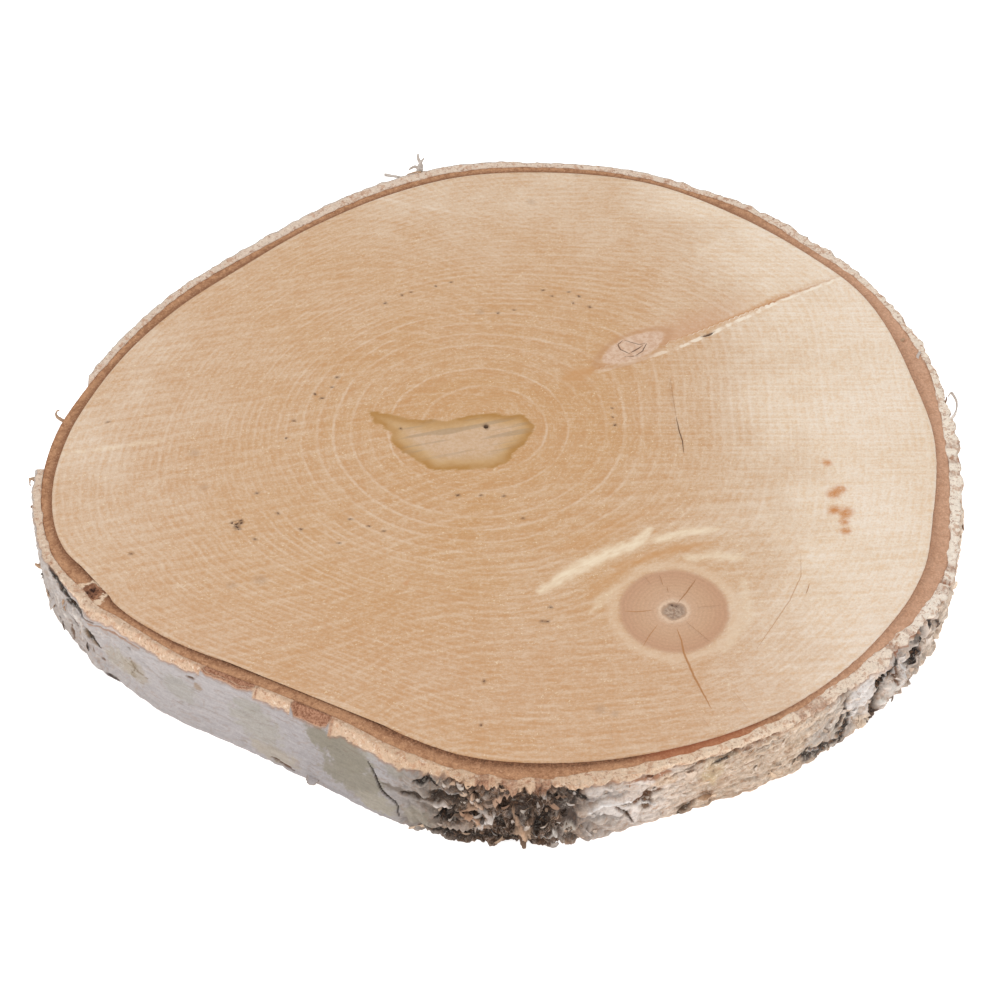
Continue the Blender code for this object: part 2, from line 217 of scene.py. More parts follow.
def mesh_object(name, vertices, faces, material, attributes):
    """Makes one piece from places in millimetres, with a float or colour value at each vertex."""
    mesh = bpy.data.meshes.new(name)
    places = np.asarray(vertices, dtype=float) * MM + np.array(SHIFT)
    mesh.from_pydata(places.tolist(), [], faces)
    mesh.validate()
    for key, values in attributes.items():
        values = np.asarray(values, dtype=np.float32)
        if values.ndim == 2:
            layer = mesh.color_attributes.new(key, "FLOAT_COLOR", "POINT")
            layer.data.foreach_set("color", np.c_[values, np.ones(len(values))].astype(np.float32).ravel())
        else:
            layer = mesh.attributes.new(key, "FLOAT", "POINT")
            layer.data.foreach_set("value", values)
    mesh.shade_smooth()
    mesh.materials.append(material)
    mesh.update()
    made = bpy.data.objects.new(name, mesh)
    bpy.context.scene.collection.objects.link(made)
    return made


class Shader:
    """Short calls that build one material's nodes; colours are given as they show, 0 to 255."""

    def __init__(self, name):
        self.material = bpy.data.materials.new(name)
        self.material.use_nodes = True
        self.tree = self.material.node_tree
        self.tree.nodes.clear()
        output = self.node("OutputMaterial")
        self.surface = self.node("BsdfPrincipled")
        self.put(output.inputs[0], self.surface.outputs[0])
        scaled = self.node("VectorMath")
        scaled.operation = "MULTIPLY_ADD"
        self.put(scaled.inputs[0], self.node("TexCoord").outputs["Object"])
        scaled.inputs[1].default_value = (1.0 / MM,) * 3
        scaled.inputs[2].default_value = tuple(-c / MM for c in SHIFT)
        self.place = scaled.outputs[0]

    def node(self, kind):
        return self.tree.nodes.new("ShaderNode" + kind)

    def put(self, socket, value):
        if isinstance(value, bpy.types.NodeSocket):
            self.tree.links.new(value, socket)
        elif isinstance(value, tuple):
            socket.default_value = (*srgb(*value), 1.0)
        else:
            socket.default_value = value

    def fill(self, node, *values):
        """Gives values to a node's first inputs and returns its first output."""
        for socket, value in zip(node.inputs, values):
            self.put(socket, value)
        return node.outputs[0]

    def number(self, name, output="Fac"):
        node = self.node("Attribute")
        node.attribute_name = name
        return node.outputs[output]

    def math(self, operation, first, second=0.0):
        node = self.node("Math")
        node.operation = operation
        return self.fill(node, first, second)

    def times(self, *values):
        total = values[0]
        for value in values[1:]:
            total = self.math("MULTIPLY", total, value)
        return total

    def plus(self, first, second):
        return self.math("ADD", first, second)

    def step(self, value, low, high, to_low=0.0, to_high=1.0):
        node = self.node("MapRange")
        node.interpolation_type = "SMOOTHSTEP"
        return self.fill(node, value, low, high, to_low, to_high)

    def fall(self, value, low, high):
        return self.step(value, low, high, 1.0, 0.0)

    def bump_at(self, value, middle, width, flat=0.0):
        """1 where value is within flat of middle, falling to 0 at width on either side."""
        return self.fall(self.math("ABSOLUTE", self.math("SUBTRACT", value, middle)), flat, width)

    def stretch(self, x, y, z, turn=0.0):
        """Places for a noise drawn out along a direction, turn degrees from +X, where x is under y."""
        node = self.node("Mapping")
        node.vector_type = "TEXTURE"
        self.put(node.inputs["Vector"], self.place)
        node.inputs["Rotation"].default_value = (0.0, 0.0, math.radians(turn))
        node.inputs["Scale"].default_value = (1.0 / x, 1.0 / y, 1.0 / z)
        return node.outputs[0]

    def vector(self, x, y, z):
        return self.fill(self.node("CombineXYZ"), x, y, z)

    def axes(self):
        node = self.node("SeparateXYZ")
        self.fill(node, self.place)
        return node.outputs[0], node.outputs[1]

    def noise(self, size, detail=2.0, roughness=0.5, vector=None, distortion=0.0):
        """Noise of 0 to 1 with lumps about size millimetres across."""
        node = self.node("TexNoise")
        self.put(node.inputs["Vector"], self.place if vector is None else vector)
        node.inputs["Scale"].default_value = 1.0 / size
        node.inputs["Detail"].default_value = detail
        node.inputs["Roughness"].default_value = roughness
        node.inputs["Distortion"].default_value = distortion
        return node.outputs["Fac"]

    def sway(self, amount, *shape):
        """Noise about zero, amount from its lowest to its highest."""
        return self.times(self.plus(self.noise(*shape), -0.5), amount)

    def random_of(self, value):
        node = self.node("TexWhiteNoise")
        node.noise_dimensions = "1D"
        self.put(node.inputs["W"], value)
        return node.outputs["Value"]

    def mix(self, share, first, second, kind="MIX"):
        node = self.node("Mix")
        node.data_type = "RGBA"
        node.blend_type = kind
        for index, value in ((0, share), (6, first), (7, second)):
            self.put(node.inputs[index], value)
        return node.outputs[2]

    def over(self, under, color, *shares):
        """Lays a colour over another, as strongly as all the shares multiplied."""
        return self.mix(self.times(*shares), under, color)

    def ramp(self, value, stops):
        node = self.node("ValToRGB")
        ramp = node.color_ramp
        while len(ramp.elements) < len(stops):
            ramp.elements.new(0.5)
        for element, (place, color) in zip(ramp.elements, stops):
            element.position = place
            element.color = (*srgb(*color), 1.0)
        return self.fill(node, value)

    def lighten(self, color, amount):
        """Multiplies a colour by a number near 1."""
        grey = self.fill(self.node("CombineColor"), amount, amount, amount)
        return self.mix(1.0, color, grey, "MULTIPLY")

    def finish(self, color, roughness, height, depth, specular):
        self.put(self.surface.inputs["Base Color"], color)
        self.put(self.surface.inputs["Roughness"], roughness)
        self.surface.inputs["Specular IOR Level"].default_value = specular
        bump = self.node("Bump")
        bump.inputs["Strength"].default_value = 1.0
        bump.inputs["Distance"].default_value = depth * MM
        self.put(bump.inputs["Height"], height)
        self.put(self.surface.inputs["Normal"], bump.outputs[0])
        return self.material


# Marks in the sawn face, in millimetres from the trunk's middle.
STAIN = [
    (-48.5, 12.5), (-40.4, 10.4), (-33.7, 8.2), (-27.5, 7.1), (-18.7, 7.1), (-11.7, 9.8), (-3.3, 10.9),
    (2.9, 9.8), (8.4, 10.4), (11.7, 6.6), (12.8, 2.8), (10.2, -2.6), (8.7, -6.3), (5.8, -9.0),
    (4.7, -12.7), (1.8, -16.4), (-1.8, -18.5), (-10.8, -19.5), (-17.2, -19.5), (-24.1, -20.1),
    (-27.0, -17.5), (-31.4, -13.2), (-35.5, -10.1), (-39.2, -5.8), (-40.1, 0.1), (-43.5, 4.4),
    (-46.5, 6.0),
]
KNOT_CENTRE = (59.4, -89.6)
KNOT_HALF = (18.8, 19.6)
ALMOND_ENDS = ((38.0, 38.6), (62.0, 56.0))
ALMOND_HALF_WIDTH = 6.4
SEAM = [
    (22.0, 27.0), (33.9, 31.9), (36.5, 33.6), (46.0, 37.6), (54.7, 41.6), (65.8, 46.7), (74.8, 52.5),
    (80.6, 55.9), (85.8, 60.0), (95.7, 66.4), (108.1, 75.3), (135.1, 90.4),
]
# Streaks of pale and amber wood: points, half width, strength.
FLAMES = [
    ([(13.8, -80.1), (27.1, -69.0), (35.9, -63.1), (47.6, -56.7), (52.4, -50.2)], 4.2, 1.0),
    ([(53.6, -56.2), (65.3, -51.2), (77.0, -49.7)], 2.6, 0.9),
    ([(31.1, -90.6), (36.4, -82.0), (41.0, -77.7)], 2.6, 0.45),
    ([(64.7, -64.1), (75.3, -62.7), (84.0, -64.5)], 3.0, 0.6),
    ([(47.6, -56.7), (58.0, -54.0), (68.0, -51.5)], 2.8, 0.5),
    ([(-158.0, -11.1), (-140.0, -7.6), (-121.7, -4.2)], 1.0, 0.5),
    ([(84.0, -74.0), (84.6, -92.0), (76.0, -108.0)], 3.4, 0.3),
]
AMBERS = [
    ([(40.0, -69.0), (52.0, -63.5), (62.0, -59.5), (74.0, -57.0)], 2.8, 0.9),
    ([(20.0, -61.0), (34.0, -53.0), (44.0, -45.5), (56.0, -39.0)], 4.5, 0.55),
    ([(30.0, -83.0), (38.0, -74.0), (44.0, -69.5)], 3.0, 0.5),
    ([(24.0, 29.0), (34.0, 35.5)], 5.0, 1.0),
    ([(66.0, 49.5), (80.0, 59.5), (96.0, 69.5), (108.0, 78.0)], 2.2, 0.7),
    ([(88.0, 72.0), (100.0, 80.0)], 7.0, 0.25),
]
RUST_SPOTS = [
    (117.8, -15.9, 1.8), (119.0, -31.5, 2.6), (121.2, -29.6, 2.4), (118.6, -40.2, 2.6),
    (122.2, -41.5, 3.0), (121.3, -46.2, 1.7), (121.2, -50.7, 2.2), (-32.1, -75.8, 1.0),
]
GREY_SPOTS = [
    (-7.6, 68.2, 1.8), (12.4, 136.0, 2.0), (-110.7, -10.6, 2.2), (-105.3, -28.4, 1.8), (-82.9, -74.8, 2.4),
    (-92.4, -77.2, 1.8), (33.0, -134.4, 2.2), (31.1, 153.6, 1.4), (38.0, -136.5, 1.5),
]
# Drying cracks and scratches: points, opening, depth, share of black in the colour, strength.
CRACKS = [
    ([(61.0, -85.6), (64.4, -80.2), (67.7, -74.4)], 0.85, 0.3, 0.25, 1.0),
    ([(42.4, -89.6), (47.0, -89.9), (52.3, -89.2)], 0.75, 0.2, 0.1, 0.9),
    ([(48.3, -106.0), (50.6, -101.0), (53.7, -95.8)], 0.6, 0.15, 0.05, 0.8),
    ([(60.1, -98.1), (61.4, -103.5), (61.9, -109.2), (64.8, -119.7), (69.7, -134.0)], 1.3, 0.3, 0.04, 1.0),
    ([(55.2, -72.2), (56.2, -77.7)], 0.5, 0.3, 0.1, 0.6),
    ([(57.5, -77.4), (57.9, -81.0)], 0.5, 0.3, 0.1, 0.6),
    ([(50.0, -73.0), (52.4, -77.2)], 0.4, 0.2, 0.0, 0.35),
    ([(63.3, -94.4), (68.4, -100.6), (71.0, -104.0)], 0.45, 0.25, 0.0, 0.45),
    ([(67.0, -87.8), (76.0, -86.8)], 0.4, 0.2, 0.0, 0.3),
    ([(104.8, -63.1), (104.1, -72.9), (99.4, -84.4), (93.6, -94.8), (87.0, -106.4)], 0.9, 0.12, 0.0, 0.55),
    ([(106.9, -76.3), (105.1, -81.6)], 0.7, 0.3, 0.05, 0.8),
    ([(77.7, -126.4), (82.2, -134.9)], 0.5, 0.12, 0.0, 0.45),
    ([(66.4, -137.5), (69.0, -143.0)], 0.45, 0.12, 0.0, 0.35),
    ([(50.5, -134.0), (52.5, -141.5)], 0.4, 0.1, 0.0, 0.25),
    ([(36.5, -140.5), (37.0, -150.0)], 0.4, 0.1, 0.0, 0.25),
    ([(76.3, 53.9), (78.4, 54.9), (80.8, 56.5)], 1.9, 1.6, 0.95, 1.0),
    ([(63.3, 30.8), (64.0, 18.0), (64.6, 9.0)], 0.5, 0.3, 0.2, 0.6),
    ([(64.6, 9.0), (65.3, 2.0), (66.3, -4.0), (66.5, -10.6)], 0.8, 0.6, 0.5, 1.0),
    ([(-92.9, -46.0), (-97.6, -50.3), (-104.0, -55.0), (-111.7, -60.2)], 0.9, 0.05, 0.0, 0.3),
    ([(46.6, 52.0), (44.4, 49.3), (45.4, 46.4), (49.4, 43.6)], 0.9, 0.2, 0.6, 0.9),
    ([(46.6, 52.0), (52.6, 49.3), (55.4, 50.4)], 0.8, 0.2, 0.6, 0.8),
    ([(55.4, 50.4), (53.4, 45.4), (50.6, 42.8)], 0.9, 0.2, 0.6, 0.9),
    ([(49.0, 44.6), (51.6, 46.8), (53.6, 48.6)], 1.0, 0.3, 0.7, 0.9),
    ([(47.4, 42.4), (52.4, 42.9)], 0.8, 0.2, 0.6, 0.8),
]
# Small pits: x, y, radius.
SPECKS = [
    (-44.0, 73.5, 0.7), (-37.6, 78.3, 0.6), (-34.2, 80.1, 0.5), (-24.7, 83.7, 0.6), (-18.9, 86.1, 0.6),
    (16.6, 81.3, 0.7), (20.0, 77.7, 0.5), (26.5, 80.1, 0.6), (30.3, 77.7, 0.8), (28.0, 73.5, 0.5),
    (34.4, 71.2, 0.7), (-0.8, 67.6, 0.6), (5.3, 69.4, 0.5), (-60.7, 30.8, 0.7), (-62.3, 25.2, 0.6),
    (-65.7, 19.1, 0.9), (-68.4, 21.4, 0.9), (-75.4, 6.6, 0.8), (-77.8, -2.6, 0.7), (-143.4, 6.0, 0.6),
    (41.2, 13.6, 0.6), (41.4, 8.7, 0.5), (42.0, 4.4, 0.8), (-15.0, -32.5, 0.9), (-6.8, -32.5, 0.6),
    (1.4, -33.0, 0.7), (8.1, -44.2, 0.6), (-52.9, -44.7, 0.8), (-46.1, -48.2, 0.6), (-40.8, -50.7, 0.8),
    (-56.3, -56.7, 0.7), (-78.5, -41.7, 0.6), (-70.0, -49.7, 0.8), (-85.9, -54.7, 0.6),
    (-86.6, -31.5, 0.6), (-5.3, -121.9, 0.7), (-6.2, -141.4, 0.7), (17.4, -87.8, 0.8), (14.4, -94.3, 0.7),
    (16.2, -94.5, 0.7), (-94.4, -46.8, 1.3), (-92.8, -47.0, 1.9), (-91.2, -46.6, 1.3), (-92.6, -48.6, 1.5),
    (-92.0, -49.8, 1.0), (-91.4, -45.4, 1.0), (-128.6, -62.0, 0.7), (-36.2, 2.6, 0.6), (58.9, -86.9, 1.2),
    (60.4, -87.4, 0.8),
]


def distance_to(points, x, y):
    """Distance from each place to a line through points, and how far along the line it is."""
    best = np.full(len(x), 1e9)
    run = np.zeros(len(x))
    done = 0.0
    for (x0, y0), (x1, y1) in zip(points, points[1:]):
        length = math.hypot(x1 - x0, y1 - y0)
        t = np.clip(((x - x0) * (x1 - x0) + (y - y0) * (y1 - y0)) / length**2, 0.0, 1.0)
        off = np.hypot(x - x0 - t * (x1 - x0), y - y0 - t * (y1 - y0))
        nearer = off < best
        best = np.where(nearer, off, best)
        run = np.where(nearer, done + t * length, run)
        done += length
    return best, run


def inside_of(points, x, y):
    """True for each place inside a closed outline."""
    inside = np.zeros(len(x), dtype=bool)
    for (x0, y0), (x1, y1) in zip(points, points[1:] + points[:1]):
        if y0 == y1:
            continue
        crosses = (y0 > y) != (y1 > y)
        inside ^= crosses & (x < (x1 - x0) * (y - y0) / (y1 - y0) + x0)
    return inside


# Ring radii near the pith; further out the rings are evenly spaced.
RING_RADII = [0.0, 13.0, 23.0, 33.0, 40.0, 46.5, 53.0, 59.0, 65.0, 71.0]
RING_GAP_OUTSIDE = 2.9
MEAN_RADIUS = 153.0
RING_DRIFT = 3.0
SEAM_DIRECTION = 33.7


def knot_share(x, y):
    """Distance from the big knot's middle, 1 at its border."""
    return np.hypot((x - KNOT_CENTRE[0]) / KNOT_HALF[0], (y - KNOT_CENTRE[1]) / KNOT_HALF[1])


def growth_rings(x, y, wander):
    """Warped radius, ring count and ring spacing: round about the pith, along the outline further out."""
    # The pith sits a little right of the rings' middle.
    off_pith = np.hypot(x - PITH[0], y - PITH[1])
    drift = RING_DRIFT * smooth_step(18.0, 34.0, off_pith)
    from_pith = np.hypot(x - PITH[0] + drift, y - PITH[1] + 1.0)
    direction = np.degrees(np.arctan2(y - PITH[1], x - PITH[0]))
    centre_angle = np.degrees(np.arctan2(y, x))
    share = np.hypot(x, y) / wood_radius(centre_angle, THICKNESS)
    outward = smooth_step(45.0, 150.0, from_pith)
    radius = from_pith * (1.0 - outward) + MEAN_RADIUS * share * outward
    # The rings come to a point along the seam, running straight below it and turning back above it.
    off_seam = angle_between(direction, SEAM_DIRECTION)
    below = np.clip(1.0 + off_seam / 34.0, 0.0, 1.0) ** 1.4
    above = (1.0 - smooth_step(0.0, 62.0, off_seam)) ** 1.2
    pull = np.where(off_seam < 0.0, below, above)
    radius *= 1.0 - 0.13 * pull * smooth_step(28.0, 75.0, from_pith)
    knot = knot_share(x, y)
    side = ((x - KNOT_CENTRE[0]) * 0.55 - (y - KNOT_CENTRE[1]) * 0.83) / KNOT_HALF[0]
    radius -= 9.0 * side * np.exp(-((knot / 1.55) ** 2))
    radius += wander
    last = len(RING_RADII) - 1
    beyond = radius - RING_RADII[-1]
    inner_count = np.interp(radius, RING_RADII, np.arange(last + 1.0))
    count = np.where(beyond < 0.0, inner_count, last + beyond / RING_GAP_OUTSIDE)
    gap = np.interp(radius, RING_RADII[1:], np.diff(RING_RADII))
    gap = np.where(beyond < 0.0, gap, RING_GAP_OUTSIDE)
    return radius, count, gap


def streaks(lines, x, y, ragged):
    """How strongly each place is covered by lines of soft colour, thinner at their ends."""
    total = np.zeros(len(x))
    for points, half_width, strength in lines:
        off, run = distance_to(points, x, y)
        length = sum(math.dist(a, b) for a, b in zip(points, points[1:]))
        taper = 0.35 + 0.65 * np.sin(np.pi * np.clip(run / length, 0.0, 1.0)) ** 0.6
        soft = 1.0 - smooth_step(0.15, 1.15, (off + ragged * 1.1) / (half_width * taper))
        total = np.maximum(total, soft * strength)
    return total


def round_spots(spots, x, y, ragged):
    total = np.zeros(len(x))
    for sx, sy, radius in spots:
        off = np.hypot(x - sx, y - sy) + ragged * 0.8
        total = np.maximum(total, 1.0 - smooth_step(0.3 * radius, 1.35 * radius, off))
    return total


def wood_values(x, y):
    """What the wood's shader reads at each place of the sawn face."""
    flat = np.zeros(len(x))
    wander = 0.9 * noise_at(x, y, flat + 3.0, 34.0) + 0.35 * noise_at(x, y, flat + 9.0, 11.0)
    ragged = noise_at(x, y, flat, 3.2)
    from_pith = np.hypot(x - PITH[0], y - PITH[1])
    radius, age, gap = growth_rings(x, y, wander)
    tone = 0.22 * smooth_step(10.0, 95.0, from_pith) + 0.68 * smooth_step(35.0, 140.0, x)
    tone += 0.30 * smooth_step(70.0, 155.0, -x) + 0.36 * smooth_step(80.0, 155.0, y)
    tone -= 0.16 * smooth_step(20.0, 110.0, -y) * smooth_step(-60.0, 50.0, 30.0 - x)
    edge_off, _ = distance_to(STAIN + STAIN[:1], x, y)
    stain = np.where(inside_of(STAIN, x, y), edge_off, -edge_off)
    (ax, ay), (bx, by) = ALMOND_ENDS
    half = math.hypot(bx - ax, by - ay) / 2
    turn = math.atan2(by - ay, bx - ax)
    off_x, off_y = x - (ax + bx) / 2, y - (ay + by) / 2
    u = off_x * math.cos(turn) + off_y * math.sin(turn)
    v = -off_x * math.sin(turn) + off_y * math.cos(turn)
    almond = np.abs(u / half) ** 1.7 + np.abs(v / ALMOND_HALF_WIDTH) ** 1.7
    seam_off, seam_run = distance_to(SEAM, x, y)
    above = (y - 27.0) - (x - 22.0) * 0.565 > 0
    seam = np.where(above, seam_off, -seam_off)
    left = smooth_step(-30.0, 60.0, -x)
    low = smooth_step(10.0, 50.0, -y)
    # The saw's lines lean and widen towards the left and the front.
    saw_across = y - 0.27 * np.maximum(left, 0.35 * low) * x
    saw_gap = 3.0 + 2.6 * np.maximum(left, low * 0.8)
    return {
        "age": age, "ring_gap": gap, "ring_radius": radius, "saw_across": saw_across,
        "pink": 0.6 * smooth_step(60.0, 125.0, -y) + 0.3 * smooth_step(60.0, 140.0, -x),
        "tone": np.clip(tone, 0.0, 1.0), "stain": stain + ragged * 0.35,
        "knot": knot_share(x, y), "almond": almond, "seam": seam, "seam_run": seam_run,
        "pale_streak": streaks(FLAMES, x, y, ragged), "amber": streaks(AMBERS, x, y, ragged),
        "rust": round_spots(RUST_SPOTS, x, y, ragged), "grey": round_spots(GREY_SPOTS, x, y, ragged),
        "saw": saw_across / saw_gap + wander * 0.1,
        "saw_show": np.clip(0.3 + smooth_step(10.0, 70.0, x) * 0.7 + low * 0.4 + left * 0.7, 0.0, 1.0),
    }


CRACK_STEP = 0.7


def crack_sections(points, opening):
    """Closely spaced places along a crack with the direction across it and half its width there."""
    legs = [math.dist(a, b) for a, b in zip(points, points[1:])]
    total = sum(legs)
    count = max(4, round(total / CRACK_STEP))
    sections = []
    for i in range(count + 1):
        at = total * i / count
        leg = 0
        while leg < len(legs) - 1 and at > legs[leg]:
            at -= legs[leg]
            leg += 1
        (x0, y0), (x1, y1) = points[leg], points[leg + 1]
        t = min(1.0, at / legs[leg])
        across = Vector((-(y1 - y0), x1 - x0)).normalized()
        share = i / count
        wide = 0.18 + 0.82 * math.sin(math.pi * share) ** 0.7
        jitter = 0.16 * noise.noise(Vector((x0 + at, y0, 3.0))) if 0 < i < count else 0.0
        middle = Vector((x0 + (x1 - x0) * t, y0 + (y1 - y0) * t)) + across * jitter
        sections.append((middle, across, opening / 2 * wide, share))
    return sections


TOP_CELL = 1.35
UNDER_CELL = 3.0
EDGE_COLUMNS = 720
EDGE_ANGLES = np.arange(EDGE_COLUMNS) * 360.0 / EDGE_COLUMNS
# Rows of points as in an even triangle grid, over a square that holds the whole face.
ROW_RATIO = 0.866
GRID_REACH = 170.0
# No wood lies further out than the first radius, and all is wood within the second.
WIDEST_WOOD = 166.0
ALWAYS_WOOD = 130.0
# How far a grid point is kept from a crack or a pit, and how far it is moved off its place.
CLEARANCE = 0.5
UNEVEN = 0.12
GRID_SEED = 5


def marked_points():
    """Points along each crack and round each pit: x, y, drop, share of brown and share of black."""
    points = []
    for line, opening, depth, dark, strength in CRACKS:
        for middle, across, half, share in crack_sections(line, opening):
            deep = depth * math.sin(math.pi * share) ** 0.5 if 0 < share < 1 else 0.0
            points.append((middle.x, middle.y, -deep, strength * (1.0 - dark), strength * dark))
            for sign in (-1, 1):
                side = middle + across * half * sign
                points.append((side.x, side.y, 0.0, 0.0, 0.0))
    for x, y, radius in SPECKS:
        points.append((x, y, -0.5 * radius, 0.25, 0.75))
        for i in range(6):
            t = math.radians(60 * i + 17 * x)
            wide = radius * (0.55 + 0.25 * math.cos(t * 2 + y))
            points.append((x + wide * math.cos(t), y + 0.8 * wide * math.sin(t), -0.05, 0.2, 0.3))
    # The pith is a small deep hole.
    for ring, (radius, deep, black) in enumerate(((0.0, 2.6, 0.9), (0.45, 1.8, 0.8), (0.95, 0.2, 0.3))):
        for i in range(1 if ring == 0 else 8):
            t = math.radians(45 * i + 20 * ring)
            x, y = PITH[0] + radius * math.cos(t), PITH[1] + 1.2 * radius * math.sin(t)
            points.append((x, y, -deep, 0.0, black))
    return points


def sawn_face(cell, detailed):
    """Points, faces and rim of a sawn face: even points, and closer ones at each crack, pit and speck."""
    height = THICKNESS if detailed else 0.0
    rim = wood_radius(EDGE_ANGLES, height) - EDGE_ROUNDING
    turns = np.radians(EDGE_ANGLES)
    places = [(float(r * math.cos(t)), float(r * math.sin(t)), 0.0, 0.0, 0.0) for r, t in zip(rim, turns)]
    extra = marked_points() if detailed else []
    places += extra
    draw = random.Random(GRID_SEED)
    taken = {
        (round(x / CLEARANCE) + right, round(y / CLEARANCE) + up)
        for x, y, *_ in extra for right in (-1, 0, 1) for up in (-1, 0, 1)
    }
    for row in range(int(2 * GRID_REACH / (cell * ROW_RATIO))):
        y = -GRID_REACH + row * cell * ROW_RATIO
        for column in range(int(2 * GRID_REACH / cell)):
            x = -GRID_REACH + (column + 0.5 * (row % 2)) * cell
            gx = x + draw.uniform(-UNEVEN, UNEVEN) * cell
            gy = y + draw.uniform(-UNEVEN, UNEVEN) * cell
            far = math.hypot(gx, gy)
            if far > WIDEST_WOOD or (round(gx / CLEARANCE), round(gy / CLEARANCE)) in taken:
                continue
            if far > ALWAYS_WOOD:
                edge = wood_radius(math.degrees(math.atan2(gy, gx)), height)
                if far > edge - EDGE_ROUNDING - cell * 0.5:
                    continue
            places.append((gx, gy, 0.0, 0.0, 0.0))
    edges = [(i, (i + 1) % EDGE_COLUMNS) for i in range(EDGE_COLUMNS)]
    flat = [Vector(place[:2]) for place in places]
    points, _, faces, origins, *_ = delaunay_2d_cdt(flat, edges, [], 1, 1e-5, True)
    kept = []
    rim_index = {}
    for index, (sources, point) in enumerate(zip(origins, points)):
        kept.append(places[sources[0]] if sources else (point.x, point.y, 0.0, 0.0, 0.0))
        rim_index |= {source: index for source in sources if source < EDGE_COLUMNS}
    return kept, [tuple(face) for face in faces], [rim_index[i] for i in range(EDGE_COLUMNS)]


